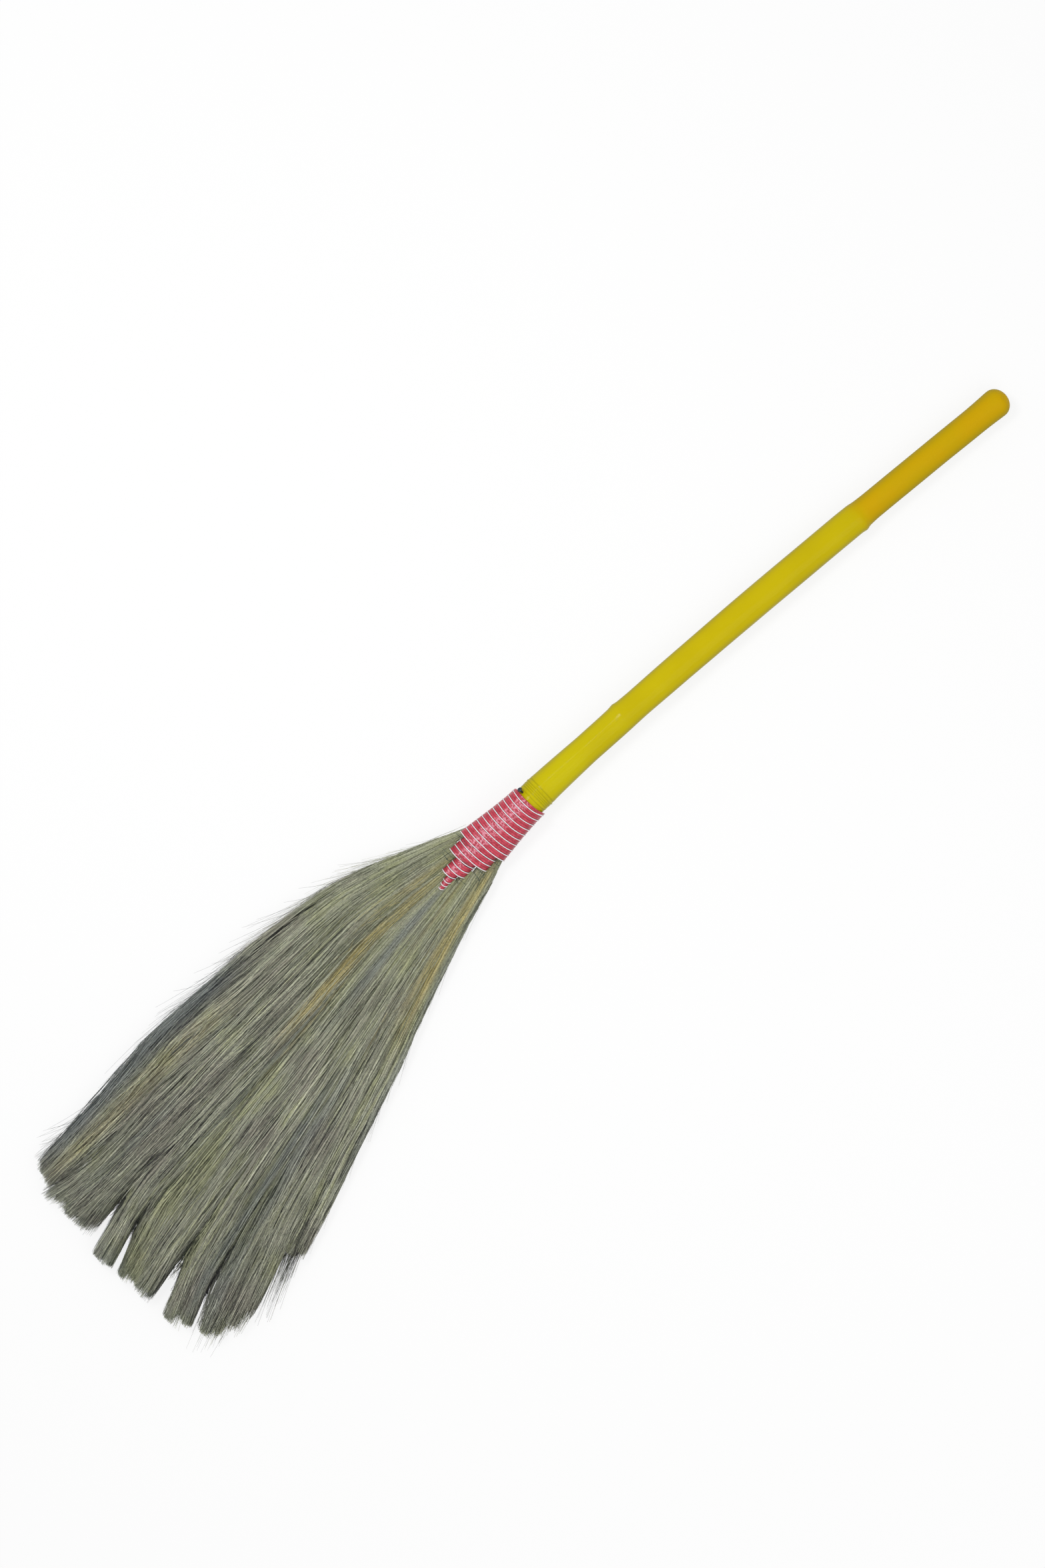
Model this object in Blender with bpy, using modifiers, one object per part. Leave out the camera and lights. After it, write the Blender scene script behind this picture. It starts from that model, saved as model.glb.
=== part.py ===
import math
from itertools import pairwise

import bmesh
import bpy
import numpy as np
from mathutils import Vector

# A hand-made grass broom, lying flat on the surface it was put down on.
# +X points to the far end of the handle, +Z is up, and the grass fans out towards -X.
# A "station" is a distance from the far end of the handle along X, and "down" is a
# distance from the top edge of the winding towards the grass tips. Lengths are in metres.

# Driving dimensions
HANDLE_BARE = 0.491  # far end of the handle to the top edge of the winding
BRUSH_LENGTH = 0.505  # top edge of the winding to the longest grass tips
BRUSH_WIDTH = 0.220  # across the widest part of the fan
BRUSH_THICKNESS = 0.025  # the fan at its thickest, half way down
HANDLE_DIAMETER = 0.024  # over the film, between two bamboo nodes
CLEARANCE = 0.0003  # between two pieces that touch

# Handle
HANDLE_SWEEP = 0.0395  # how far the bent handle carries its far end to one side
NECK_OFFSET = 0.0252  # from the middle of the fan to the middle of the neck
NECK_DRIFT = 0.0022  # sideways lean of the neck over the whole winding
END_ROUND = 0.010  # length of the rounded far end
FILM_WALL = 0.0005
FILM_TUCK = 0.006  # length of the film under the top edge of the winding
NODE_STATIONS = (0.152, 0.392)  # the two bamboo nodes that show
NODE_RISE = 0.0007  # each node stands this much above the cane, on the radius
NODE_REACH = 0.008  # from a node's crest to where the cane is plain again
CULM_INSERT = 0.046  # length of the cane inside the winding
BORE_DIAMETER = 0.013
END_WALL = 0.016  # solid bamboo at the far end, which a node closes
DIAPHRAGM = 0.003  # thickness of the wall across the bore at a node
DIAPHRAGM_HOLE = 0.003  # each wall is pierced, as in a cane that has dried

# Winding
BUTT_LAYER = 0.0023  # grass butts between the cane and the winding
PITCH = 0.00525  # from one white turn to the next
TIP_PITCH = 0.0036  # the same over the last turns, which lie closer
RIBBON_WIDTH = 0.0032
RIBBON_WALL = 0.0004
FILAMENT_DIAMETER = 0.0007
NECK_LIFT = 0.0005  # underside of the winding above the surface, at its top edge
NECK_ARCH = 0.0025  # how much higher the underside is at the lower end of the winding
TURNS = 20
TIP_TURN = 17  # the closer turns start here
LEAD_TURNS = 1.05  # the filament is this far down when its first full turn begins
SAG = 0.0028  # the turns hang this far towards the grass in the middle of each face
WIDE_SIDES, NARROW_SIDES, NARROW_TURN = 10, 8, 7  # flats on a turn

# Thread ties
THREAD_DIAMETER = 0.0007
TIE_DOWN = 0.004  # from where a bundle is free of the winding to its thread tie
ROOT_DOWN = 0.006  # from the tie to where the strands part
TIE_SIDES = 8

# Nail
NAIL_LENGTH = 0.013
NAIL_DIAMETER = 0.0018
NAIL_HEAD = 0.0040
NAIL_HEAD_THICK = 0.0009
NAIL_POINT = 0.0022
NAIL_DOWN = 0.0039
NAIL_LEAN = math.radians(44)  # the nail leans this far from upright towards +Y
NAIL_SIDES = 12

# Grass strands
STRAND_SHARE = 0.76  # a strand's width in its own cell where it bends
TIP_SHARE = 0.66  # the same at its cut tip
BUNDLE_GAP = 0.0008  # half the space between two bundles where the strands bend
NOTCH_GAP = 0.0022  # half the space between two bundles at the tips
ROWS = 4
RAGGED = 0.010  # how unevenly the tips are cut
HANDLE_SIDES = 16
HANDLE_BEVEL = HANDLE_SIDES // 2 - 2  # the bevel resolution that gives as many

OVERRUN = 0.002  # how far a cutter passes the surface that it cuts

# Shapes as shares, chosen by hand
sweep_power_share = 1.32
film_shares = (  # (down the bare handle, width over HANDLE_DIAMETER)
    (0.0, 1.0), (0.025, 0.985), (0.065, 0.94), (0.27, 0.94), (0.33, 1.035), (0.55, 1.035),
    (0.62, 1.01), (0.76, 0.99), (0.83, 0.99), (0.89, 1.0), (0.93, 1.045), (0.97, 1.09),
    (0.99, 1.125), (1.0, 1.10),
)
bend_station_shares = (0.14, 0.2, 0.44, 0.69)  # more rings along the bent handle
nail_crown_share = 0.7  # the flat top of the nail head
culm_tip_share = 0.62  # the cane is whittled to this share of its width inside the grass
neck_width_shares = ((0.0, 1.0), (0.11, 1.0), (0.50, 1.32), (1.0, 1.66))
neck_thick_shares = ((0.0, 1.0), (0.11, 0.97), (0.50, 0.72), (1.0, 0.36))
neck_knot_share = 0.11  # where both begin to change, down the winding
round_share = 2.4  # exponent of the rounded section of the neck
end_column_share = 0.955  # where the last column of a rounded section stands
taut_share = 0.5  # how much less the last turn sags than the first
exit_thick_share = 0.86  # a bundle that has left the winding, over the neck there
bend_share = 0.33  # where each strand bends, down the brush
belly_share = 0.68  # where those of the left outer bundle bend again
# Lines between the bundles and at the two edges, from the -Y side, over BRUSH_WIDTH, and
# the +Y edge at its belly
bend_line_shares = (-0.131, -0.068, 0.003, 0.060, 0.143, 0.197, 0.301, 0.416)
tip_line_shares = (-0.667, -0.545, -0.344, -0.203, 0.044, 0.137, 0.318, 0.435)
belly_edge_share = 0.489
neck_line_shares = (0.0, 0.134, 0.334, 0.434, 0.559, 0.684, 0.874, 1.0)  # across the neck
fan_thick_shares = ((0.12, 0.66), (0.42, 1.0), (0.75, 0.96), (1.0, 0.76))
fan_edge_share = 0.45  # the fan is this much thinner at its two edges

# Bundles from the -Y side to the +Y side: name, columns of strands, the turn at which the
# winding first leaves it out, its tip down the brush at either side, as shares
BUNDLES = (
    ("grass_bundle_right_outer", 4, 10, (0.755, 0.785)),
    ("grass_bundle_right_middle", 6, 13, (0.94, 0.98)),
    ("grass_bundle_right_inner", 5, 16, (0.985, 0.995)),
    ("grass_bundle_centre", 8, TURNS, (0.99, 0.998)),
    ("grass_bundle_left_inner", 4, 17.5, (1.0, 0.99)),
    ("grass_bundle_left_middle", 6, 14.5, (0.99, 0.985)),
    ("grass_bundle_left_outer", 5, 11.5, (0.985, 0.96)),
)
CENTRE = 3
LAST = len(BUNDLES) - 1

# Worked out from the sizes above
TOTAL_LENGTH = HANDLE_BARE + BRUSH_LENGTH
BEND = bend_share * BRUSH_LENGTH
FILAMENT_RADIUS = FILAMENT_DIAMETER / 2
THREAD_RADIUS = THREAD_DIAMETER / 2


def between(pairs, x):
    """The value at x on the straight lines through (x, value) pairs."""
    return float(np.interp(x, [p[0] for p in pairs], [p[1] for p in pairs]))


def down_of_turn(turn):
    """How far down the filament is after this many turns."""
    plain = min(turn, TIP_TURN)
    return PITCH * (plain + LEAD_TURNS) + TIP_PITCH * (turn - plain)


WINDING_LENGTH = down_of_turn(TURNS)


def x_of_station(station):
    return TOTAL_LENGTH / 2 - station


def x_of_down(down):
    return x_of_station(HANDLE_BARE + down)


def film_radius(station):
    """Radius over the film, with a low crest at each bamboo node."""
    plain = between(film_shares, station / HANDLE_BARE) * HANDLE_DIAMETER / 2
    crest = sum(max(0, 1 - abs(station - node) / NODE_REACH) for node in NODE_STATIONS)
    return plain + NODE_RISE * crest


SKIN = FILM_WALL + CLEARANCE  # from the film's outer face to the cane
CANE_AT_NECK = film_radius(HANDLE_BARE) - SKIN
NECK_RADIUS = CANE_AT_NECK + CLEARANCE + BUTT_LAYER


def cane_radius(station):
    """Radius of the cane: under the film, then whittled down inside the grass."""
    if station <= HANDLE_BARE:
        return film_radius(station) - SKIN
    taper = (station - HANDLE_BARE) / CULM_INSERT
    return CANE_AT_NECK * (1 + (culm_tip_share - 1) * taper)


def neck_width(down):
    return 2 * NECK_RADIUS * between(neck_width_shares, down / WINDING_LENGTH)


def neck_thickness(down):
    return 2 * NECK_RADIUS * between(neck_thick_shares, down / WINDING_LENGTH)


def neck_centre(down):
    """Y and Z of the middle of the bound grass."""
    share = min(1, max(0, down / WINDING_LENGTH))
    stand = 2 * CLEARANCE + FILAMENT_DIAMETER
    lift = NECK_LIFT + NECK_ARCH * share + stand + neck_thickness(down) / 2
    return NECK_OFFSET + NECK_DRIFT * share, lift


def spine(station):
    """The middle of the handle: bent in plan, straight seen from the side and in the grass."""
    if station > HANDLE_BARE:
        share = (station - HANDLE_BARE) / CULM_INSERT
        top, end = Vector((0, *neck_centre(0))), Vector((0, *neck_centre(CULM_INSERT)))
        return Vector((x_of_station(station), 0, 0)) + top.lerp(end, share)
    share = station / HANDLE_BARE
    y = NECK_OFFSET - HANDLE_SWEEP * (1 - share) ** sweep_power_share
    far_z = HANDLE_DIAMETER / 2 * math.cos(math.pi / HANDLE_SIDES)
    z = far_z + (neck_centre(0)[1] - far_z) * share
    return Vector((x_of_station(station), y, z))


def remove_everything():
    for obj in list(bpy.data.objects):
        bpy.data.objects.remove(obj, do_unlink=True)


def new_collection(name):
    collection = bpy.data.collections.new(name)
    bpy.context.scene.collection.children.link(collection)
    return collection


def material(name, colour, roughness, metallic=0.0):
    made = bpy.data.materials.new(name)
    made.use_nodes = True
    shader = made.node_tree.nodes["Principled BSDF"]
    shader.inputs["Base Color"].default_value = (*colour, 1.0)
    shader.inputs["Roughness"].default_value = roughness
    shader.inputs["Metallic"].default_value = metallic
    return made


def add_object(name, data, collection, finish, parent=None):
    obj = bpy.data.objects.new(name, data)
    collection.objects.link(obj)
    if finish:
        data.materials.append(finish)
    obj.parent = parent
    return obj


def poly_curve(name, points, radii, depth, resolution, collection, finish, parent, closed=False):
    """A tube along the points; radii are shares of depth."""
    curve = bpy.data.curves.new(name, "CURVE")
    curve.dimensions = "3D"
    curve.bevel_depth = depth
    curve.bevel_resolution = resolution
    curve.use_fill_caps = not closed
    line = curve.splines.new("POLY")
    line.points.add(len(points) - 1)
    for spot, place, radius in zip(line.points, points, radii):
        spot.co = (*place, 1)
        spot.radius = radius
    line.use_cyclic_u = closed
    return add_object(name, curve, collection, finish, parent)


def as_mesh(obj):
    """The curve object made a mesh object of the same name, with its caps welded on."""
    name, finish, parent = obj.name, obj.data.materials[:], obj.parent
    collection, place = obj.users_collection[0], obj.matrix_world.copy()
    graph = bpy.context.evaluated_depsgraph_get()
    mesh = bpy.data.meshes.new_from_object(obj.evaluated_get(graph))
    bpy.data.objects.remove(obj, do_unlink=True)
    bm = bmesh.new()
    bm.from_mesh(mesh)
    bmesh.ops.remove_doubles(bm, verts=bm.verts, dist=CLEARANCE / 100)
    bmesh.ops.recalc_face_normals(bm, faces=bm.faces)
    bm.to_mesh(mesh)
    bm.free()
    mesh.materials.clear()
    made = add_object(name, mesh, collection, finish[0] if finish else None, parent)
    made.matrix_world = place
    return made


def tube_mesh(name, stations, radius_of, collection, finish, parent):
    """A round solid of changing radius along the handle's spine."""
    widest = HANDLE_DIAMETER / 2
    points = [spine(s) for s in stations]
    radii = [radius_of(s) / widest for s in stations]
    return as_mesh(
        poly_curve(name, points, radii, widest, HANDLE_BEVEL, collection, finish, parent)
    )


def cut(obj, cutter):
    step = obj.modifiers.new("cut_" + cutter.name, "BOOLEAN")
    step.operation = "DIFFERENCE"
    step.solver = "EXACT"
    step.object = cutter


def make_guide(obj):
    obj.hide_render = True
    obj.display_type = "WIRE"


def smooth(obj):
    obj.data.shade_smooth()
    obj.data.set_sharp_from_angle(angle=math.radians(40))


def end_stations(inset):
    """Stations round the far end, which starts this far inside the film's outer face."""
    steps = 4
    reach = END_ROUND - inset
    return [END_ROUND - reach * math.cos(math.pi / 2 * i / steps) for i in range(1, steps)]


def nosed(radius_of, inset):
    """The radius with the far end drawn in to a rounded nose."""
    def radius(station):
        full = radius_of(station)
        if station >= END_ROUND:
            return full
        share = (END_ROUND - station) / (END_ROUND - inset)
        return full * math.sqrt(max(0, 1 - share**2))

    return radius


def handle_stations():
    nodes = [s + shift for s in NODE_STATIONS for shift in (-NODE_REACH, 0, NODE_REACH)]
    plain = [share * HANDLE_BARE for share, _ in film_shares]
    bends = [share * HANDLE_BARE for share in bend_station_shares]
    return sorted(s for s in set(nodes + plain + bends) if s > END_ROUND)


def build_sleeve(collection, finish, parent, nail_cutter):
    """The shrunk film: a thin shell over the whole bare handle, open at the neck."""
    tuck = HANDLE_BARE + FILM_TUCK
    stations = end_stations(0) + [END_ROUND] + handle_stations() + [tuck]
    sleeve = tube_mesh(
        "yellow_film_sleeve", stations, nosed(film_radius, 0), collection, finish, parent
    )
    before_rim = x_of_station(HANDLE_BARE + FILM_TUCK / 2)
    bm = bmesh.new()
    bm.from_mesh(sleeve.data)
    caps = [f for f in bm.faces if max(v.co.x for v in f.verts) < before_rim]
    bmesh.ops.delete(bm, geom=caps, context="FACES")
    bm.to_mesh(sleeve.data)
    bm.free()
    wall = sleeve.modifiers.new("film_wall", "SOLIDIFY")
    wall.thickness = FILM_WALL
    wall.offset = -1
    wall.use_even_offset = True
    cut(sleeve, nail_cutter)
    smooth(sleeve)
    return sleeve


def build_cane(collection, cutters, finish, parent, nail_cutter):
    """The bamboo cane, bored from its lower end and closed at the far end by a node."""
    end = HANDLE_BARE + CULM_INSERT
    stations = end_stations(SKIN) + [END_ROUND] + handle_stations() + [end]
    cane = tube_mesh(
        "bamboo_cane", stations, nosed(cane_radius, SKIN), collection, finish, parent
    )
    walls = [s + shift for s in NODE_STATIONS for shift in (-1, 1)]
    bore_stations, bore_radii = [END_WALL], [BORE_DIAMETER / 2]
    for node in NODE_STATIONS:
        for side in (-1, 1):
            edge = node + side * DIAPHRAGM / 2
            pair = [(edge + side * DIAPHRAGM / 2, BORE_DIAMETER / 2), (edge, DIAPHRAGM_HOLE / 2)]
            for place, radius in pair if side < 0 else pair[::-1]:
                bore_stations.append(place)
                bore_radii.append(radius)
    bore_stations.append(end + OVERRUN)
    bore_radii.append(BORE_DIAMETER / 2)
    bore = as_mesh(
        poly_curve(
            "bore_cutter", [spine(s) for s in bore_stations],
            [r / BORE_DIAMETER * 2 for r in bore_radii], BORE_DIAMETER / 2, 3,
            cutters, None, parent,
        )
    )
    make_guide(bore)
    cut(cane, bore)
    cut(cane, nail_cutter)
    smooth(cane)
    return cane


def build_core_cutter(cutters, parent):
    """The film and the cane inside the grass, with clearance all round."""
    tuck = HANDLE_BARE + FILM_TUCK + CLEARANCE
    end = HANDLE_BARE + CULM_INSERT
    ring = film_radius(HANDLE_BARE)
    sizes = [
        (HANDLE_BARE - OVERRUN, ring), (HANDLE_BARE, ring), (tuck, ring),
        (tuck + CLEARANCE, cane_radius(tuck)), (end, cane_radius(end)),
        (end + CLEARANCE, cane_radius(end)),
    ]
    widest = ring + CLEARANCE
    points = [spine(station) for station, _ in sizes]
    shares = [(radius + CLEARANCE) / widest for _, radius in sizes]
    cutter = as_mesh(
        poly_curve("core_cutter", points, shares, widest, HANDLE_BEVEL, cutters, None, parent)
    )
    make_guide(cutter)
    return cutter


def exit_turn(index):
    return BUNDLES[index][2]


def separate_down(index):
    """Where a bundle has drawn aside enough for the first turn that leaves it out."""
    return down_of_turn(exit_turn(index) - 1) - RIBBON_WIDTH / 2 - 2 * CLEARANCE


def free_down(index):
    """Where a bundle is past the last turn round it."""
    if index == CENTRE:
        return WINDING_LENGTH + SAG
    return down_of_turn(exit_turn(index) - 1) + PITCH / 4


def tie_down(index):
    return free_down(index) + TIE_DOWN


def root_down(index):
    return tie_down(index) + (ROOT_DOWN if index != CENTRE else 0)


def start_down(index):
    """Where the butts of a bundle begin, just under the upper edge of the winding."""
    across = neck_line_shares[index] + neck_line_shares[index + 1] - 1
    turn = math.acos(-across) / (2 * math.pi)
    return ribbon_down(turn, -1) + SAG * (1 - across**2) - CLEARANCE


def neck_line(number, down):
    """Y of the line between two bundles in the neck, or of an edge of the neck."""
    return neck_centre(down)[0] + (neck_line_shares[number] - 0.5) * neck_width(down)


def fan_line(number, down):
    """The same in the open fan, straight from the bend to the tips, but for the +Y edge."""
    places = [(bend_share, bend_line_shares[number]), (1, tip_line_shares[number])]
    if number == len(BUNDLES):
        places.insert(1, (belly_share, belly_edge_share))
    return between(places, down / BRUSH_LENGTH) * BRUSH_WIDTH


def group_at(turn):
    """(first, last) of the bundles that the pass of the winding up to this turn goes round."""
    inside = [i for i in range(len(BUNDLES)) if i == CENTRE or turn < exit_turn(i)]
    return inside[0], inside[-1]


def group_edges(group, down):
    return neck_line(group[0], down), neck_line(group[1] + 1, down)


def rounded(angle):
    """A point of the unit rounded section."""
    c, s = math.cos(angle), math.sin(angle)
    power = 2 / round_share
    return math.copysign(abs(c) ** power, c), math.copysign(abs(s) ** power, s)


def rounded_height(y, low, high):
    """Share of the full height of a rounded section between low and high, at y."""
    off = abs(2 * y - low - high) / (high - low)
    return max(0, 1 - off**round_share) ** (1 / round_share)


def ring_share(sides):
    """How much a ring of flats is enlarged to go clear round the rounded section."""
    corners = np.array([rounded(2 * math.pi * (i + 0.5) / sides) for i in range(sides)])
    along = np.linspace(0, 1, sides * 4)[:, None, None]
    flats = corners + (np.roll(corners, -1, axis=0) - corners) * along
    return 1 / ((np.abs(flats) ** round_share).sum(axis=2) ** (1 / round_share)).min()


ring_shares = {sides: ring_share(sides) for sides in {WIDE_SIDES, NARROW_SIDES, TIE_SIDES}}


def ring_point(angle, half_wide, half_thick, radius, sides):
    """(y, z) from the middle of a section to the middle of a thread of this radius round it."""
    a, b = rounded(angle)
    stand = CLEARANCE + radius
    return (
        a * (half_wide + stand) * ring_shares[sides], b * (half_thick + stand) * ring_shares[sides]
    )


def side_space():
    """From the grass inside the winding to a bundle that it leaves out."""
    flat = max(ring_shares[n] * rounded(math.pi / n)[0] for n in (WIDE_SIDES, NARROW_SIDES))
    stand = CLEARANCE + FILAMENT_RADIUS
    return (NECK_RADIUS + stand) * flat + stand - NECK_RADIUS


def bound_sides(index, down, group, space):
    """Lowest and highest y of a bundle inside the winding."""
    low, high = group_edges(group, down)
    middle, inner = (low + high) / 2, (high - low) / 2 * end_column_share
    right = neck_line(index, down) + (space if index > CENTRE else CLEARANCE / 2)
    left = neck_line(index + 1, down) - (space if index < CENTRE else CLEARANCE / 2)
    return max(right, middle - inner), min(left, middle + inner)


def bound_section(index, down, groups, space=CLEARANCE / 2):
    """Columns of a bundle inside the winding, below the rounding of each group: (y, low z, high z)."""
    right, left = bound_sides(index, down, groups[-1], space)
    half = neck_thickness(down) / 2
    columns = BUNDLES[index][1]
    middle_z = neck_centre(down)[1]
    rows = []
    for i in range(columns + 1):
        y = right + (left - right) * i / columns
        reach = half * min(rounded_height(y, *group_edges(group, down)) for group in groups)
        rows.append((y, middle_z - reach, middle_z + reach))
    return rows


def fan_sides(index, down):
    ease = max(0, (down - BEND) / (BRUSH_LENGTH - BEND))
    gap = BUNDLE_GAP + (NOTCH_GAP - BUNDLE_GAP) * ease
    return fan_line(index, down) + gap, fan_line(index + 1, down) - gap


def own_space():
    """From the grass inside the winding to a bundle with its tie that it leaves out."""
    return side_space() + THREAD_DIAMETER + 2 * CLEARANCE


def free_sides(index, down):
    """Lowest and highest y of a bundle from where it is free to where its strands bend."""
    start = free_down(index)
    if index == CENTRE:
        near = bound_sides(index, start, (CENTRE, CENTRE), 0)
    else:
        near = bound_sides(index, start, group_at(exit_turn(index) - 1), own_space())
    share = (down - start) / (BEND - start)
    return [a + (b - a) * share for a, b in zip(near, fan_sides(index, BEND))]


def free_section(index, down):
    right, left = free_sides(index, down)
    middle_y, middle_z = (right + left) / 2, neck_centre(down)[1]
    half_wide = (left - right) / 2
    half = neck_thickness(down) / 2 * exit_thick_share
    columns = BUNDLES[index][1]
    rows = []
    for i in range(columns + 1):
        y = middle_y + half_wide * end_column_share * (2 * i / columns - 1)
        reach = half * rounded_height(y, right, left)
        rows.append((y, middle_z - reach, middle_z + reach))
    return rows


def fan_point(index, down, u, v):
    """Place in a bundle of the open fan: u across it from 0 to 1, v up it from 0 to 1."""
    right, left = fan_sides(index, down)
    y = right + (left - right) * u
    low, high = fan_line(0, down), fan_line(len(BUNDLES), down)
    across = 2 * (y - low) / (high - low) - 1
    thick = BRUSH_THICKNESS * between(fan_thick_shares, down / BRUSH_LENGTH)
    return y, v * thick * (1 - fan_edge_share * across**2)


def in_cell(corners, keep):
    """The corners of a cell drawn in to its middle, and a side on the floor kept there."""
    u = sum(c[0] for c in corners) / len(corners)
    v = sum(c[1] for c in corners) / len(corners)
    drawn = [(u + (a - u) * keep, v + (b - v) * keep) for a, b in corners]
    on_floor = sum(c[1] == 0 for c in corners) > 1
    drop = min(d[1] for d in drawn) if on_floor else 0
    return [(a, b - drop) for a, b in drawn]


def ragged(index, i, j, half):
    """Uneven cut of one strand, the same on every run."""
    wave = math.sin(12.9 * index + 7.3 * i + 4.1 * j + 2.3 * half) * 43.7
    return wave - math.floor(wave)


def bundle_sections(index):
    """(down, columns) from the butt of a bundle to where its strands part."""
    own = exit_turn(index)
    everyone = (0, LAST)
    sections = [
        (down, bound_section(index, down, [everyone]))
        for down in (start_down(index), neck_knot_share * WINDING_LENGTH)
    ]
    others = [
        i for i in range(len(BUNDLES))
        if exit_turn(i) < own and (index == CENTRE or (i < CENTRE) == (index < CENTRE))
    ]
    before = 0
    for i in sorted(others, key=exit_turn):
        down, turn = separate_down(i), exit_turn(i)
        groups = [group_at(before), group_at(turn - 0.5), group_at(turn)]
        sections.append((down, bound_section(index, down, groups)))
        before = turn
    if index == CENTRE:
        down = free_down(index)
        sections.append((down, bound_section(index, down, [(CENTRE, CENTRE)])))
    else:
        groups = [group_at(before), group_at(own - 0.5)]
        for down in (separate_down(index), free_down(index)):
            sections.append((down, bound_section(index, down, groups, own_space())))
        sections.append((tie_down(index), free_section(index, tie_down(index))))
    sections.append((root_down(index), free_section(index, root_down(index))))
    return sections


def outline(columns, x):
    """Places round a section: along the underside, then back along the top."""
    low = [(x, y, bottom) for y, bottom, _ in columns]
    high = [(x, y, top) for y, _, top in columns]
    return low + high[::-1]


def root_grid(bm, section, x):
    """Points where the strands part, in columns across the bundle and rows up it."""
    return {
        (i, j): bm.verts.new((x, y, bottom + (top - bottom) * j / ROWS))
        for i, (y, bottom, top) in enumerate(section) for j in range(ROWS + 1)
    }


def join_rings(bm, upper, lower, keys):
    """Side faces from ring to ring, split the same way on the two strands that face each other."""
    for a, b in ((0, 1), (1, 2), (2, 0)):
        if keys[a] < keys[b]:
            bm.faces.new((upper[a], lower[a], lower[b]))
            bm.faces.new((upper[a], lower[b], upper[b]))
        else:
            bm.faces.new((upper[a], lower[a], upper[b]))
            bm.faces.new((lower[a], lower[b], upper[b]))


def grow_strand(bm, index, grid, keys, half):
    """One three-sided strand from its root to its cut tip."""
    columns, tips = BUNDLES[index][1], BUNDLES[index][3]
    cell = [(i / columns, j / ROWS) for i, j in keys]
    across = sum(u for u, _ in cell) / len(cell)
    tip = (tips[0] + (tips[1] - tips[0]) * across) * BRUSH_LENGTH
    tip -= RAGGED * ragged(index, *keys[0], half)
    bends = [(BEND, STRAND_SHARE), (tip, TIP_SHARE)]
    if index == LAST:
        bends.insert(1, (belly_share * BRUSH_LENGTH, STRAND_SHARE))
    rings = [[grid[key] for key in keys]]
    for down, keep in bends:
        places = [fan_point(index, down, *spot) for spot in in_cell(cell, keep)]
        rings.append([bm.verts.new((x_of_down(down), *place)) for place in places])
    for upper, lower in pairwise(rings):
        join_rings(bm, upper, lower, keys)
    bm.faces.new(rings[-1][::-1])


def build_bundle(index, collection, finish, parent, cutters):
    """One bundle: its bound butt as a solid slice, and the strands that grow from it."""
    name, columns = BUNDLES[index][:2]
    sections = bundle_sections(index)
    bm = bmesh.new()
    rings = [[bm.verts.new(p) for p in outline(c, x_of_down(d))] for d, c in sections[:-1]]
    for upper, lower in pairwise(rings):
        for a, b in pairwise(range(-1, len(upper))):
            bm.faces.new((upper[a], lower[a], lower[b], upper[b]))
    bm.faces.new(rings[0])
    down, section = sections[-1]
    grid = root_grid(bm, section, x_of_down(down))
    edge = rings[-1]
    low, high = edge[:columns + 1], edge[columns + 1:][::-1]
    for i in range(columns):
        bm.faces.new((low[i], low[i + 1], grid[i + 1, 0], grid[i, 0]))
        bm.faces.new((high[i + 1], high[i], grid[i, ROWS], grid[i + 1, ROWS]))
    for i in (0, columns):
        bm.faces.new([low[i], high[i]] + [grid[i, j] for j in range(ROWS, -1, -1)])
    strands = 0
    for i in range(columns):
        for j in range(ROWS):
            quad = [(i, j), (i + 1, j), (i + 1, j + 1), (i, j + 1)]
            halves = ((0, 1, 2), (0, 2, 3)) if (i + j) % 2 else ((0, 1, 3), (1, 2, 3))
            for half, picks in enumerate(halves):
                grow_strand(bm, index, grid, [quad[p] for p in picks], half)
                strands += 1
    bmesh.ops.recalc_face_normals(bm, faces=bm.faces)
    mesh = bpy.data.meshes.new(name)
    bm.to_mesh(mesh)
    bm.free()
    bundle = add_object(name, mesh, collection, finish, parent)
    for cutter in cutters:
        cut(bundle, cutter)
    return strands


def winding_path(start, end, radius, down_at):
    """(turn, place) along a winding that goes over the top from -Y to +Y and back under.

    down_at gives how far down the strand is at a turn, before it sags."""
    turns = [
        (i + 0.5) / sides
        for sides, first, last in (
            (WIDE_SIDES, start, NARROW_TURN), (NARROW_SIDES, NARROW_TURN, end)
        )
        for i in range(math.floor(first * sides), math.ceil(last * sides))
        if first <= (i + 0.5) / sides <= last
    ]
    path = []
    for turn in turns:
        sides = WIDE_SIDES if turn < NARROW_TURN else NARROW_SIDES
        angle = 2 * math.pi * turn
        slack = 1 - taut_share * down_at(turn) / WINDING_LENGTH
        down = down_at(turn) + SAG * slack * math.sin(angle) ** 2
        low, high = group_edges(group_at(math.floor(turn * 2) / 2 + 0.5), down)
        half_wide, half_thick = (high - low) / 2, neck_thickness(down) / 2
        dy, dz = ring_point(angle, half_wide, half_thick, radius, sides)
        place = Vector((x_of_down(down), (low + high) / 2 - dy, neck_centre(down)[1] + dz))
        path.append((turn, place))
    return path


def ribbon_down(turn, side):
    """Upper or lower edge of the ribbon, which lies midway between two white turns."""
    lower, upper = down_of_turn(turn), down_of_turn(turn - 1)
    return (lower + upper) / 2 + side * RIBBON_WIDTH / 2 * (lower - upper) / PITCH


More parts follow.
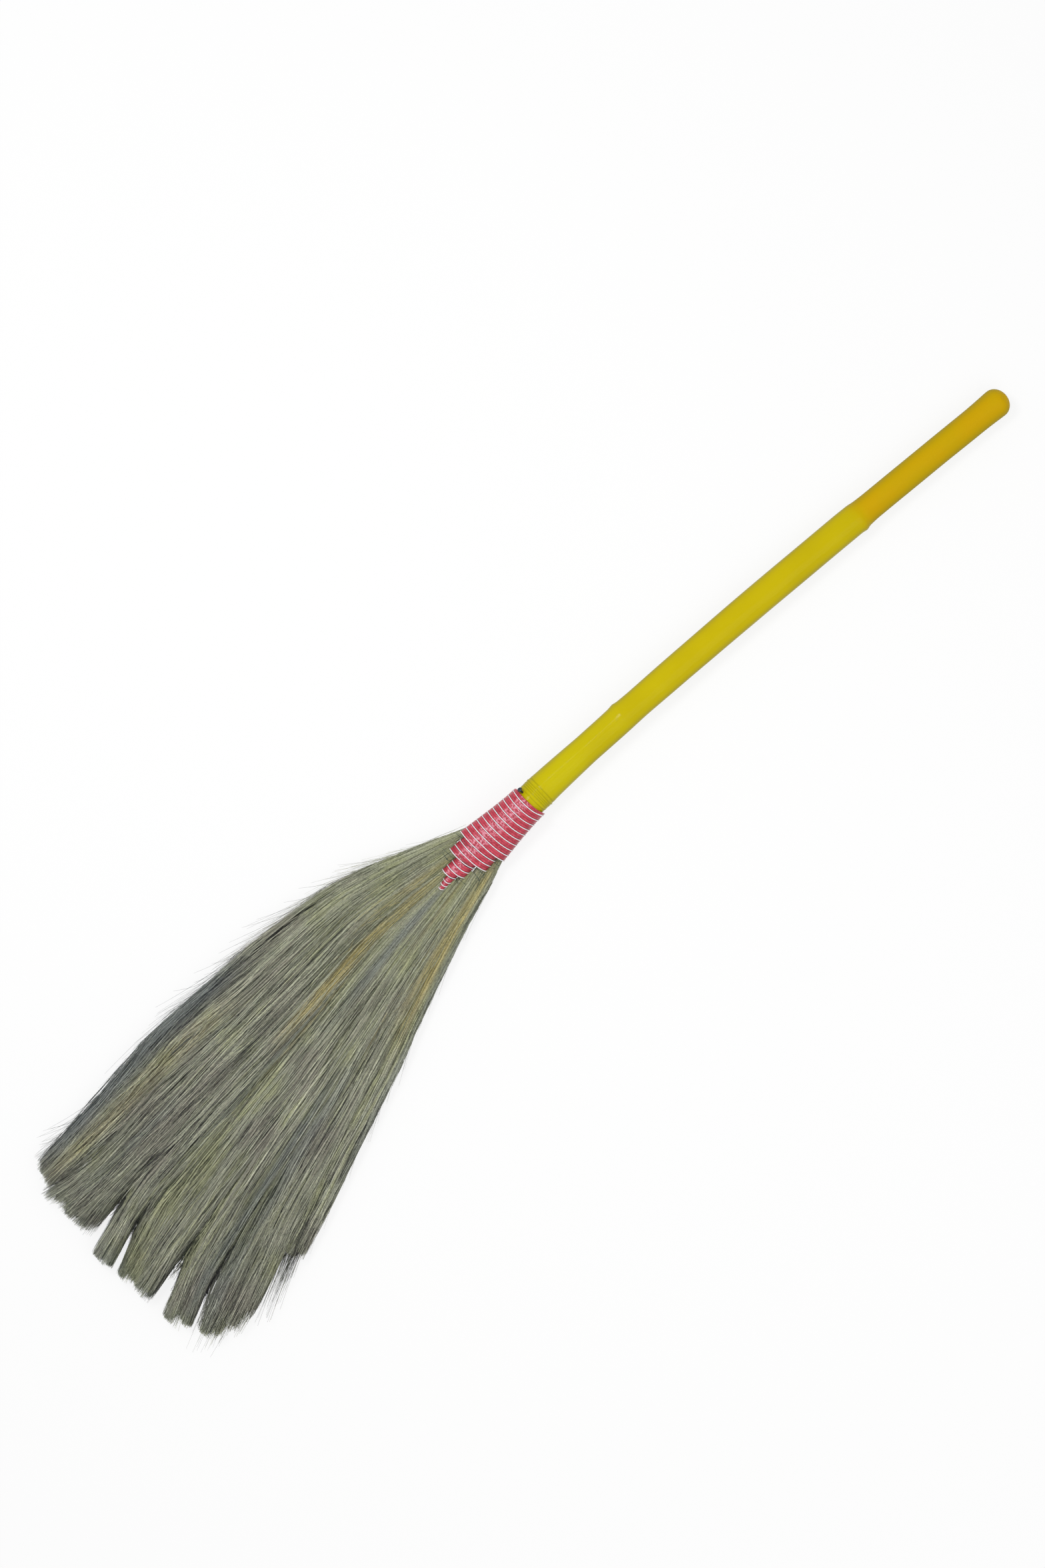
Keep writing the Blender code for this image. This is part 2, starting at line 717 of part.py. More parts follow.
def build_ribbon(collection, finish, parent, nail_cutter):
    """The flat red strip, one open surface with a wall, pierced by the nail."""
    edges = [
        winding_path(0, TURNS, RIBBON_WALL / 2, lambda turn, s=s: ribbon_down(turn, s))
        for s in (-1, 1)
    ]
    bm = bmesh.new()
    pairs = [[bm.verts.new(place) for _, place in pair] for pair in zip(*edges)]
    for (a, b), (c, d) in pairwise(pairs):
        bm.faces.new((a, b, d, c))
    mesh = bpy.data.meshes.new("red_ribbon_winding")
    bm.to_mesh(mesh)
    bm.free()
    ribbon = add_object("red_ribbon_winding", mesh, collection, finish, parent)
    wall = ribbon.modifiers.new("ribbon_wall", "SOLIDIFY")
    wall.thickness = RIBBON_WALL
    wall.offset = 0
    cut(ribbon, nail_cutter)
    gap = least_gap(edges[0] + edges[1], RIBBON_WALL)
    print(f"red ribbon: least gap to itself {gap * 1000:.2f} mm")


def build_filament(collection, finish, parent):
    """The white strand that lies between the turns of the ribbon."""
    path = winding_path(0, TURNS, FILAMENT_RADIUS, down_of_turn)
    points = [place for _, place in path]
    ends = [points[0] - points[1], points[-1] - points[-2]]
    points.insert(0, points[0] + ends[0].normalized() * FILAMENT_DIAMETER)
    points.append(points[-1] + ends[1].normalized() * FILAMENT_DIAMETER)
    poly_curve(
        "white_filament_winding", points, [1] * len(points), FILAMENT_RADIUS, 0,
        collection, finish, parent,
    )
    gap = least_gap(path, FILAMENT_DIAMETER)
    print(f"white filament: least gap to itself {gap * 1000:.2f} mm")


def least_gap(path, thick):
    """Least distance between points half a turn or more apart, less the strand's thickness."""
    turns = np.array([turn for turn, _ in path])
    places = np.array([place[:] for _, place in path])
    apart = np.linalg.norm(places[:, None] - places[None], axis=2)
    apart[np.abs(turns[:, None] - turns[None]) < 0.5] = np.inf
    return float(apart.min()) - thick


def build_tie(index, collection, finish, parent):
    """A thread round a bundle, just below where it leaves the winding."""
    down = tie_down(index)
    right, left = free_sides(index, down)
    half_thick = neck_thickness(down) / 2 * exit_thick_share
    points = []
    for i in range(TIE_SIDES):
        angle = 2 * math.pi * (i + 0.5) / TIE_SIDES
        dy, dz = ring_point(angle, (left - right) / 2, half_thick, THREAD_RADIUS, TIE_SIDES)
        points.append((x_of_down(down), (left + right) / 2 + dy, neck_centre(down)[1] + dz))
    name = BUNDLES[index][0].replace("grass_bundle", "thread_tie")
    poly_curve(
        name, points, [1] * len(points), THREAD_RADIUS, 0, collection, finish, parent, closed=True
    )


def nail_place():
    """(place of the underside of the head, unit direction out of the neck)."""
    y, z = neck_centre(NAIL_DOWN)
    out = Vector((0, math.sin(NAIL_LEAN), math.cos(NAIL_LEAN)))
    reach = (NECK_RADIUS + 4 * CLEARANCE + RIBBON_WALL) * ring_shares[WIDE_SIDES]
    return Vector((x_of_down(NAIL_DOWN), y, z)) + out * reach, out


def turned(name, profile, steps, collection, finish, parent):
    """A profile of (radius, height) turned about Z."""
    mesh = bpy.data.meshes.new(name)
    edges = [(i, i + 1) for i in range(len(profile) - 1)]
    mesh.from_pydata([(radius, 0, height) for radius, height in profile], edges, [])
    obj = add_object(name, mesh, collection, finish, parent)
    screw = obj.modifiers.new("turn", "SCREW")
    screw.steps = screw.render_steps = steps
    screw.use_merge_vertices = True
    screw.merge_threshold = CLEARANCE / 30
    return obj


def build_nail(collection, finish, parent):
    place, out = nail_place()
    head, shank = NAIL_HEAD / 2, NAIL_DIAMETER / 2
    profile = (
        (0, NAIL_HEAD_THICK), (head * nail_crown_share, NAIL_HEAD_THICK), (head, NAIL_HEAD_THICK / 2),
        (head, 0), (shank, 0), (shank, NAIL_POINT - NAIL_LENGTH), (0, -NAIL_LENGTH),
    )
    nail = turned("steel_nail", profile, NAIL_SIDES, collection, finish, parent)
    nail.location = place
    nail.rotation_euler = out.to_track_quat("Z", "Y").to_euler()
    return nail


def build_nail_cutter(cutters, parent):
    place, out = nail_place()
    radius = NAIL_DIAMETER / 2 + CLEARANCE
    profile = (
        (0, OVERRUN), (radius, OVERRUN), (radius, -NAIL_LENGTH - CLEARANCE),
        (0, -NAIL_LENGTH - CLEARANCE),
    )
    cutter = turned("nail_cutter", profile, NAIL_SIDES, cutters, None, parent)
    cutter.location = place
    cutter.rotation_euler = out.to_track_quat("Z", "Y").to_euler()
    make_guide(cutter)
    return cutter


def main():
    remove_everything()
    broom = new_collection("straw_broom")
    cutters = new_collection("cutters")
    cutters.hide_render = True
    root = add_object("broom_origin", None, broom, None)
    film = material("yellow_film", (0.53, 0.45, 0.01), 0.32)
    bamboo = material("bamboo", (0.55, 0.42, 0.22), 0.6)
    grass = material("dry_grass", (0.23, 0.24, 0.14), 0.7)
    ribbon = material("red_ribbon", (0.58, 0.05, 0.10), 0.3)
    filament = material("white_filament", (0.85, 0.80, 0.80), 0.4)
    thread = material("green_thread", (0.03, 0.07, 0.05), 0.7)
    steel = material("dark_steel", (0.05, 0.06, 0.08), 0.45, 0.8)
    nail_cutter = build_nail_cutter(cutters, root)
    core_cutter = build_core_cutter(cutters, root)
    build_sleeve(broom, film, root, nail_cutter)
    build_cane(broom, cutters, bamboo, root, nail_cutter)
    strands = 0
    for index in range(len(BUNDLES)):
        cuts = [core_cutter, nail_cutter] if index >= LAST - 1 else [core_cutter]
        strands += build_bundle(index, broom, grass, root, cuts)
        if index != CENTRE:
            build_tie(index, broom, thread, root)
    print(f"{strands} strands in {len(BUNDLES)} bundles")
    build_ribbon(broom, ribbon, root, nail_cutter)
    build_filament(broom, filament, root)
    build_nail(broom, steel, root)


main()
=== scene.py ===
import math
from collections import namedtuple

import bmesh
import bpy
import numpy as np
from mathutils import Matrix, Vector, noise


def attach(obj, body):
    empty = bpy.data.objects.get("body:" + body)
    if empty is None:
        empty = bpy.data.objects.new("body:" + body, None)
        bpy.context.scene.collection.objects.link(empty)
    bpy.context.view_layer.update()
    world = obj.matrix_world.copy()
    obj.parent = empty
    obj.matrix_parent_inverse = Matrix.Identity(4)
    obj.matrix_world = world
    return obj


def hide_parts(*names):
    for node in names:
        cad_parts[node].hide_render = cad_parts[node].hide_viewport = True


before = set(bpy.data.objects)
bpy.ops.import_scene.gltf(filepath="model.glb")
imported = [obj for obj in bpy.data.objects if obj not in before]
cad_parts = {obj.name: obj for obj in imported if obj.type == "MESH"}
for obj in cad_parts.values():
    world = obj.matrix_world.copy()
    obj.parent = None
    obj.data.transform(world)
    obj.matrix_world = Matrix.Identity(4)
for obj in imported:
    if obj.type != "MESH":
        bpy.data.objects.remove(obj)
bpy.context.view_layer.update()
print("frame: %d nodes" % len(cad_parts))

# +X runs to the far end of the handle, the grass fans out towards -X, and Z is up.
# A "station" is a distance from the far end of the handle, and "down" is a distance
# from the top edge of the winding towards the tips. They are in metres, or in millimetres
# in the film's stations and in everything about the fan's bundles.
mm = 0.001
farX = 0.498  # X of the far end of the handle
neckX = 0.007  # X of the top edge of the winding


def table(rows, x):
    # straight lines through (x, value) rows
    xs = [row[0] for row in rows]
    return np.interp(x, xs, [row[1] for row in rows])


def soft(rows, x, reach):
    # the same, with its corners rounded over this reach
    spread = np.linspace(-1, 1, 9)
    weights = (1 - spread ** 2) ** 2 + 0.02
    return sum(w * table(rows, x + s * reach) for s, w in zip(spread, weights)) / weights.sum()


class Tools:
    # adds nodes to one tree; a value may be a number, a colour or another node's output
    def __init__(self, tree):
        self.tree = tree

    def add(self, kind, values=None, **settings):
        node = self.tree.nodes.new(kind)
        for name, value in settings.items():
            setattr(node, name, value)
        for key, value in (values or {}).items():
            if isinstance(value, bpy.types.NodeSocket):
                self.tree.links.new(value, node.inputs[key])
            else:
                node.inputs[key].default_value = value
        return node

    def calc(self, operation, a, b=0.0, c=0.0):
        return self.add("ShaderNodeMath", {0: a, 1: b, 2: c}, operation=operation).outputs[0]

    def times(self, a, b):
        return self.calc("MULTIPLY", a, b)

    def plus(self, a, b):
        return self.calc("ADD", a, b)

    def minus(self, a, b):
        return self.calc("SUBTRACT", a, b)

    def span(self, value, low, high, toLow=0.0, toHigh=1.0, smoothly=True):
        kind = "SMOOTHSTEP" if smoothly else "LINEAR"
        node = self.add(
            "ShaderNodeMapRange", {0: value, 1: low, 2: high, 3: toLow, 4: toHigh},
            interpolation_type=kind,
        )
        return node.outputs[0]

    def blend(self, share, a, b):
        node = self.add("ShaderNodeMix", {"Factor": share}, data_type="RGBA")
        for key, value in (("A_Color", a), ("B_Color", b)):
            socket = next(s for s in node.inputs if s.identifier == key)
            if isinstance(value, bpy.types.NodeSocket):
                self.tree.links.new(value, socket)
            else:
                socket.default_value = (*value, 1.0)
        return next(s for s in node.outputs if s.identifier == "Result_Color")

    def attribute(self, name):
        return self.add("ShaderNodeAttribute", attribute_name=name).outputs["Fac"]

    def mottle(self, vector, scale, detail=2.0, roughness=0.5):
        return self.add(
            "ShaderNodeTexNoise",
            {"Vector": vector, "Scale": scale, "Detail": detail, "Roughness": roughness},
        ).outputs[0]

    def place(self):
        return self.add("ShaderNodeTexCoord").outputs["Object"]

    def split(self, vector):
        return self.add("ShaderNodeSeparateXYZ", {0: vector}).outputs

    def uv(self, name):
        return self.add("ShaderNodeUVMap", uv_map=name).outputs[0]

    def bump(self, height, strength, distance):
        values = {"Strength": strength, "Distance": distance, "Height": height}
        return self.add("ShaderNodeBump", values).outputs[0]


def newMaterial(name, **fixed):
    # a material with its Principled shader, and the tools for the rest of its tree
    made = bpy.data.materials.new(name)
    made.use_nodes = True
    shader = made.node_tree.nodes["Principled BSDF"]
    for key, value in fixed.items():
        shader.inputs[key.replace("_", " ")].default_value = value
    return made, Tools(made.node_tree), shader


def feed(tools, shader, **outputs):
    # links outputs to the shader's sockets of these names
    for key, value in outputs.items():
        tools.tree.links.new(value, shader.inputs[key.replace("_", " ")])


def makeGrainGroup():
    # fine lengthwise grain: streaks along X, as a mask and as a bumped normal
    group = bpy.data.node_groups.new("lengthwise grain", "ShaderNodeTree")
    sockets = group.interface
    for name, value in (("Stretch", 1.0), ("Scale", 600.0), ("Bump", 0.1)):
        sockets.new_socket(name, in_out="INPUT", socket_type="NodeSocketFloat").default_value = value
    sockets.new_socket("Streak", in_out="OUTPUT", socket_type="NodeSocketFloat")
    sockets.new_socket("Normal", in_out="OUTPUT", socket_type="NodeSocketVector")
    tools = Tools(group)
    given = tools.add("NodeGroupInput").outputs
    split = tools.split(tools.place())
    along = tools.times(split[0], given["Stretch"])
    joined = tools.add("ShaderNodeCombineXYZ", {0: along, 1: split[1], 2: split[2]})
    streak = tools.mottle(joined.outputs[0], given["Scale"], 3.0, 0.6)
    bump = tools.bump(streak, given["Bump"], 0.0003)
    out = tools.add("NodeGroupOutput", {0: streak, 1: bump})
    out.is_active_output = True
    return group


grainGroup = makeGrainGroup()


def useGrain(tools, stretch, scale, bump):
    node = tools.add("ShaderNodeGroup", node_tree=grainGroup)
    for key, value in (("Stretch", stretch), ("Scale", scale), ("Bump", bump)):
        node.inputs[key].default_value = value
    return node.outputs["Streak"], node.outputs["Normal"]


def newObject(name, mesh, material, slot, *nodes):
    # a finished piece: it rides on the broom's one body and stands for these CAD nodes
    made = bpy.data.objects.new(name, mesh)
    bpy.context.scene.collection.objects.link(made)
    if material and not mesh.materials:
        mesh.materials.append(material)
    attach(made, "root")
    if nodes:
        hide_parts(*nodes)
    print("%s: %d faces" % (name, len(mesh.polygons)))
    return made


def ringMesh(name, rings, closedAlong=False):
    # a closed skin over rings of points, all of one length
    rings = np.asarray(rings, float)
    count, sides = rings.shape[:2]
    spots = np.arange(count * sides).reshape(count, sides)
    after = np.roll(spots, -1, axis=1)
    faces = np.stack([spots[:-1], after[:-1], after[1:], spots[1:]], axis=-1)
    faces = faces.reshape(-1, 4).tolist()
    if closedAlong:
        faces += np.stack([spots[-1], after[-1], after[0], spots[0]], axis=-1).tolist()
    else:
        faces += [spots[0][::-1].tolist(), spots[-1].tolist()]
    mesh = bpy.data.meshes.new(name)
    mesh.from_pydata(rings.reshape(-1, 3).tolist(), [], faces)
    bm = bmesh.new()
    bm.from_mesh(mesh)
    bmesh.ops.recalc_face_normals(bm, faces=bm.faces)
    bm.to_mesh(mesh)
    bm.free()
    mesh.shade_smooth()
    return mesh


def tubeRings(points, radii, sides):
    # round rings along a path, with as little twist as can be
    points = np.asarray(points, float)
    tangents = np.gradient(points, axis=0)
    tangents /= np.linalg.norm(tangents, axis=1)[:, None]
    start = np.cross(tangents[0], (0, 0, 1) if abs(tangents[0][2]) < 0.9 else (0, 1, 0))
    side = start / np.linalg.norm(start)
    angles = np.linspace(0, 2 * math.pi, sides, endpoint=False)
    rings = []
    for place, tangent, radius in zip(points, tangents, np.broadcast_to(radii, len(points))):
        side = side - tangent * side.dot(tangent)
        side /= np.linalg.norm(side)
        up = np.cross(tangent, side)
        rings.append([place + radius * (math.cos(a) * side + math.sin(a) * up) for a in angles])
    return rings


def smoothPath(points, steps):
    # a Catmull-Rom curve through the points
    points = [np.asarray(p, float) for p in points]
    points = [2 * points[0] - points[1]] + points + [2 * points[-1] - points[-2]]
    path = []
    for a, b, c, d in zip(points, points[1:], points[2:], points[3:]):
        for i in range(steps):
            t = i / steps
            curve = 2 * b + (c - a) * t + (2 * a - 5 * b + 4 * c - d) * t ** 2
            path.append(0.5 * (curve + (3 * b - a - 3 * c + d) * t ** 3))
    return path + [points[-2]]


view = {
    "target": (0.0078, 0.0391, 0.012),  # the middle of the photograph's frame
    "frameHeight": 1.2466,
    "sensorHeight": 36.0,
    "distance": 2.2,
    "turn": math.radians(-45),
    "worldLight": 0.52,
    # name, watts, width and place
    "lamps": (
        ("key", 9.3, 0.5, (-0.05, 0.72, 1.5)),
        ("glint", 1.3, 0.05, (0.1, 0.27, 1.7)),
        ("fill", 7.0, 1.6, (0.1, -0.85, 1.5)),
    ),
    "floorSize": 8.0,
    "floorDrop": 0.0002,
    "floorGlow": 0.82,  # share of the plain white where the floor is seen
}


def makeCamera():
    data = bpy.data.cameras.new("camera")
    data.sensor_fit = "VERTICAL"
    data.sensor_height = view["sensorHeight"]
    data.lens = data.sensor_height * view["distance"] / view["frameHeight"]
    data.clip_end = 20.0
    camera = bpy.data.objects.new("camera", data)
    camera.location = Vector(view["target"]) + Vector((0, 0, view["distance"]))
    camera.rotation_euler = (0, 0, view["turn"])
    bpy.context.scene.collection.objects.link(camera)
    bpy.context.scene.camera = camera


def makeLamp(name, power, size, place):
    data = bpy.data.lights.new(name, "AREA")
    data.energy = power
    data.shape = "DISK"
    data.size = size
    lamp = bpy.data.objects.new(name, data)
    lamp.location = place
    lamp.rotation_euler = Vector(place).to_track_quat("Z", "Y").to_euler()
    bpy.context.scene.collection.objects.link(lamp)


def seenDirectly(tools):
    # 1 for a ray from the camera, or one by way of a clear or a shiny face
    rays = tools.add("ShaderNodeLightPath").outputs
    seen = tools.calc("MAXIMUM", rays["Is Camera Ray"], rays["Is Transmission Ray"])
    return tools.calc("MAXIMUM", seen, rays["Is Glossy Ray"])


def makeWorld():
    # white where the camera or a shiny face sees it, softer as a light on the broom
    world = bpy.data.worlds.new("studio")
    world.use_nodes = True
    bpy.context.scene.world = world
    tools = Tools(world.node_tree)
    back = world.node_tree.nodes["Background"]
    back.inputs["Color"].default_value = (1, 1, 1, 1)
    strength = tools.span(seenDirectly(tools), 0, 1, view["worldLight"], 1.0, False)
    tools.tree.links.new(strength, back.inputs["Strength"])


def makeFloor():
    mesh = bpy.data.meshes.new("floor")
    reach = view["floorSize"] / 2
    corners = [(-reach, -reach, 0), (reach, -reach, 0), (reach, reach, 0), (-reach, reach, 0)]
    mesh.from_pydata(corners, [], [(0, 1, 2, 3)])
    paper, tools, shader = newMaterial(
        "pale paper", Roughness=0.9, Specular_IOR_Level=0.1, Base_Color=(0.95, 0.95, 0.95, 1),
    )
    glow = tools.add("ShaderNodeEmission", {"Color": (1, 1, 1, 1), "Strength": 1.0})
    share = tools.times(seenDirectly(tools), view["floorGlow"])
    mixed = tools.add("ShaderNodeMixShader", {0: share, 1: shader.outputs[0], 2: glow.outputs[0]})
    tools.tree.links.new(mixed.outputs[0], paper.node_tree.nodes["Material Output"].inputs[0])
    floor = bpy.data.objects.new("floor", mesh)
    mesh.materials.append(paper)
    floor.location = (0, 0, -view["floorDrop"])
    bpy.context.scene.collection.objects.link(floor)


makeCamera()
makeWorld()
makeFloor()
for lamp in view["lamps"]:
    makeLamp(*lamp)
bpy.context.scene.view_settings.view_transform = "Standard"
print("camera, lights and floor")


# the neck is the bound grass that the winding goes round
neck = {
    "radius": 0.015,
    "length": 0.10556,
    "y": 0.0252, "drift": 0.0022,  # its middle, and how far it leans over its length
    "lift": 0.0018, "arch": 0.0025,  # its underside above the floor
    "widths": ((0, 1), (0.12, 1.01), (0.27, 1.10), (0.36, 1.18), (0.51, 1.31), (1, 1.66)),
    "heights": ((0, 1), (0.11, 0.97), (0.5, 0.74), (1, 0.42)),
    "roundness": 2.4,
    "lines": (0.0, 0.134, 0.334, 0.434, 0.559, 0.684, 0.874, 1.0),
}


def neckWidth(down):
    return 2 * neck["radius"] * soft(neck["widths"], down / neck["length"], 0.08)


def neckHeight(down):
    return 2 * neck["radius"] * soft(neck["heights"], down / neck["length"], 0.08)


def neckMiddle(down):
    share = min(1, max(0, down / neck["length"]))
    return neck["y"] + neck["drift"] * share, neck["lift"] + neck["arch"] * share + neckHeight(down) / 2


def rounded(angle, square):
    # a point of a rounded box, with sides from -1 to 1
    c, s = math.cos(angle), math.sin(angle)
    power = 2 / square
    return math.copysign(abs(c) ** power, c), math.copysign(abs(s) ** power, s)


def dome(inside, square):
    # height of that box at this share of half its width
    return (1 - inside ** square) ** (1 / square)


film = {
    "radii": (
        (0, 12.0), (12, 11.95), (22, 11.5), (32, 11.25), (140, 11.2), (150, 11.6), (153, 12.2),
        (165, 12.5), (270, 12.55), (300, 12.2), (360, 12.0), (380, 11.85), (397, 12.05), (405, 12.1),
        (435, 12.0), (456, 12.55), (477, 13.1), (486, 13.45), (491, 13.3), (498, 13.2),
    ),
    "wall": 0.0005,
    "nose": 0.010,  # length of the rounded far end
    "sweep": 0.0395, "sweepPower": 1.32,
    "farHeight": 0.0120,  # middle of the far end above the floor
    "sides": 88,
    "noseRings": 14,
    "spots": (  # stations of the other rings: from, to and step, mm
        (11.5, 147, 3.0), (147, 158, 0.7), (158, 386, 3.0), (386, 399, 0.8), (399, 482, 2.5), (482.5, 497.2, 0.28),
    ),
    # (station mm, height mm, width mm, how much on the -Y side, on the +Y side)
    "nodes": ((152.0, 0.75, 2.6, 1.0, 0.15), (396.5, 0.62, 2.8, 0.05, 1.0)),
    # ring wrinkles: station, height and width, mm
    "rings": (
        (481.8, 0.28, 0.5), (484.7, 0.80, 0.5), (486.4, 0.42, 0.42), (488.0, 0.50, 0.42), (489.6, 0.36, 0.42),
        (491.7, 0.45, 0.5),
    ),
    # the groove that bamboo has above a branch, mm, with its angle from the top and its width in radians
    "groove": {"end": 150, "fadeIn": 18, "fadeOut": 14, "depth": 0.75, "angle": 0.62, "width": 0.42},
    "waver": (0.16, 38, 1.6, 10),  # height, length and roundness of a slow wobble, and where it fades in, mm
    "dimple": (493.5, -14.2, 0.9, 1.7),  # X, Y, depth and reach, mm
}


def spine(station):
    if station > farX - neckX:
        y, z = neckMiddle(0)
        return Vector((farX - station, y, z - 0.06 * (station - farX + neckX)))
    share = station / (farX - neckX)
    y = neck["y"] - film["sweep"] * (1 - share) ** film["sweepPower"]
    return Vector((farX - station, y, film["farHeight"] + (neckMiddle(0)[1] - film["farHeight"]) * share))


def filmStations():
    # where the film has its rings of points, mm
    nose, count = film["nose"] / mm, film["noseRings"]
    rounding = [nose * (1 - math.cos(math.pi / 2 * i / count)) for i in range(1, count + 1)]
    return rounding + [spot for low, high, step in film["spots"] for spot in np.arange(low, high, step)]


def filmRadius(station, angle):
    # radius at this station, both in mm, with angle 0 at the +Y side and 90 degrees on top
    radius = float(soft(film["radii"], station, 5))
    right, left = (1 - math.cos(angle)) / 2, (1 + math.cos(angle)) / 2
    for place, height, width, onRight, onLeft in film["nodes"]:
        off = station - place
        rise = math.exp(-((off / width) ** 2)) + 0.35 * math.exp(-((off / (3.2 * width)) ** 2))
        radius += height * rise * (onRight * right ** 1.5 + onLeft * left ** 1.5)
    for place, height, width in film["rings"]:
        tilt = 0.5 * math.cos(angle * 2 + place) + 0.4 * math.sin(angle + 2 * place)
        off = station - place - tilt * 0.6
        side = 1 if height > 0.5 and math.cos(angle) < 0.3 else 0.6
        radius += side * height * math.exp(-abs(off / width) ** 1.5)
    groove = film["groove"]
    if station < groove["end"]:
        fade = min(1, station / groove["fadeIn"]) * min(1, (groove["end"] - station) / groove["fadeOut"])
        fromTop = math.atan2(-math.cos(angle), math.sin(angle))
        radius -= groove["depth"] * fade * math.exp(-(((fromTop - groove["angle"]) / groove["width"]) ** 2))
    height, length, spin, fadeIn = film["waver"]
    wobble = noise.noise(Vector((station / length, spin * math.cos(angle), spin * math.sin(angle))))
    return radius + height * wobble * min(1, station / fadeIn)


def makeFilm():
    stations = filmStations()
    angles = np.linspace(0, 2 * math.pi, film["sides"], endpoint=False)
    walls = {}
    for inset in (0, 1):
        rings = []
        for station in stations:
            ahead, behind = spine((station + 0.5) * mm), spine(max(0, station - 0.5) * mm)
            tangent = (ahead - behind).normalized()
            side = Vector((0, 0, 1)).cross(tangent).normalized()  # towards -Y
            up = tangent.cross(side).normalized()
            if up.z < 0:
                up.negate()
            left = -side if side.y < 0 else side
            middle = spine(station * mm)
            nose = film["nose"] / mm
            share = math.sqrt(max(0, 1 - ((nose - station) / nose) ** 2)) if station < nose else 1
            ring = []
            for a in angles:
                radius = (filmRadius(station, a) * share) * mm - inset * film["wall"]
                place = middle + (left * math.cos(a) + up * math.sin(a)) * max(radius, 0.0004)
                if inset:
                    place.x -= film["wall"] * (1 - share)
                if not inset and math.sin(a) > 0:
                    x, y, depth, reach = film["dimple"]
                    off = ((place.x / mm - x) ** 2 + (place.y / mm - y) ** 2) / reach ** 2
                    place.z += (0.35 * math.exp(-((math.sqrt(off) - 1.5) ** 2) * 3) - depth * math.exp(-off)) * mm
                ring.append(place[:])
            rings.append(ring)
        walls[inset] = rings
    # out along the outer face, over the rim, and back along the inner face
    skin = walls[0] + walls[1][::-1]
    mesh = ringMesh("yellowFilm", skin)
    wrap = mesh.uv_layers.new(name="wrap")
    for loop in mesh.loops:
        # how deep between two rings, then 1 on top of the cane and 0.5 at its sides
        row, column = divmod(loop.vertex_index, film["sides"])
        station = stations[min(row, 2 * len(stations) - 1 - row)]
        groove = max(math.exp(-(((station - place - 0.85) / 0.4) ** 2)) for place, _, _ in film["rings"])
        wrap.data[loop.index].uv = (groove, 0.5 + 0.5 * math.sin(angles[column]))
    return mesh


def makeFilmMaterial():
    made, tools, shader = newMaterial("yellow film", Specular_IOR_Level=0.055)
    blend, span, times = tools.blend, tools.span, tools.times
    place = tools.place()
    split = tools.split(place)
    nearFar = span(split[0], 0.338, 0.356)  # the duller, more orange part past the upper node
    nearNeck = span(split[0], 0.20, 0.0)
    colour = blend(nearNeck, (0.58, 0.46, 0.0025), (0.58, 0.50, 0.004))
    colour = blend(nearFar, colour, (0.61, 0.37, 0.001))
    cloud = tools.mottle(place, 30.0, 3.0)
    colour = blend(span(cloud, 0.35, 0.75, 0.0, 0.35), colour, (0.50, 0.39, 0.002))
    groove, upward, _ = tools.split(tools.uv("wrap"))
    # painted shade: darker in the grooves just past each ring wrinkle
    colour = blend(times(groove, span(cloud, 0.35, 0.6, 0.25, 0.6)), colour, (0.28, 0.25, 0.003))
    # painted shade: the film is darker away from its top, towards its sides, more so past the upper node
    colour = blend(times(span(upward, 0.97, 0.82, 0.0, 0.3), nearFar), colour, (0.42, 0.30, 0.001))
    colour = blend(span(upward, 0.90, 0.52, 0.0, 0.7), colour, (0.26, 0.23, 0.004))
    low = span(split[2], 0.010, 0.0015, 0.0, 0.55)  # painted shade: darker low on the sides, where they turn to the floor
    colour = blend(low, colour, (0.24, 0.22, 0.012))
    grain, _ = useGrain(tools, 0.12, 260.0, 0.1)
    fine = tools.mottle(place, 420.0, 3.0)
    rough = tools.plus(span(nearFar, 0, 1, 0.06, 0.40, False), times(grain, 0.05))
    bump = tools.bump(tools.plus(fine, times(grain, 1.5)), 0.12, 0.0003)
    feed(tools, shader, Base_Color=colour, Roughness=rough, Normal=bump)
    return made


newObject("yellowFilm", makeFilm(), makeFilmMaterial(), "yellow_film", "yellow_film_sleeve")

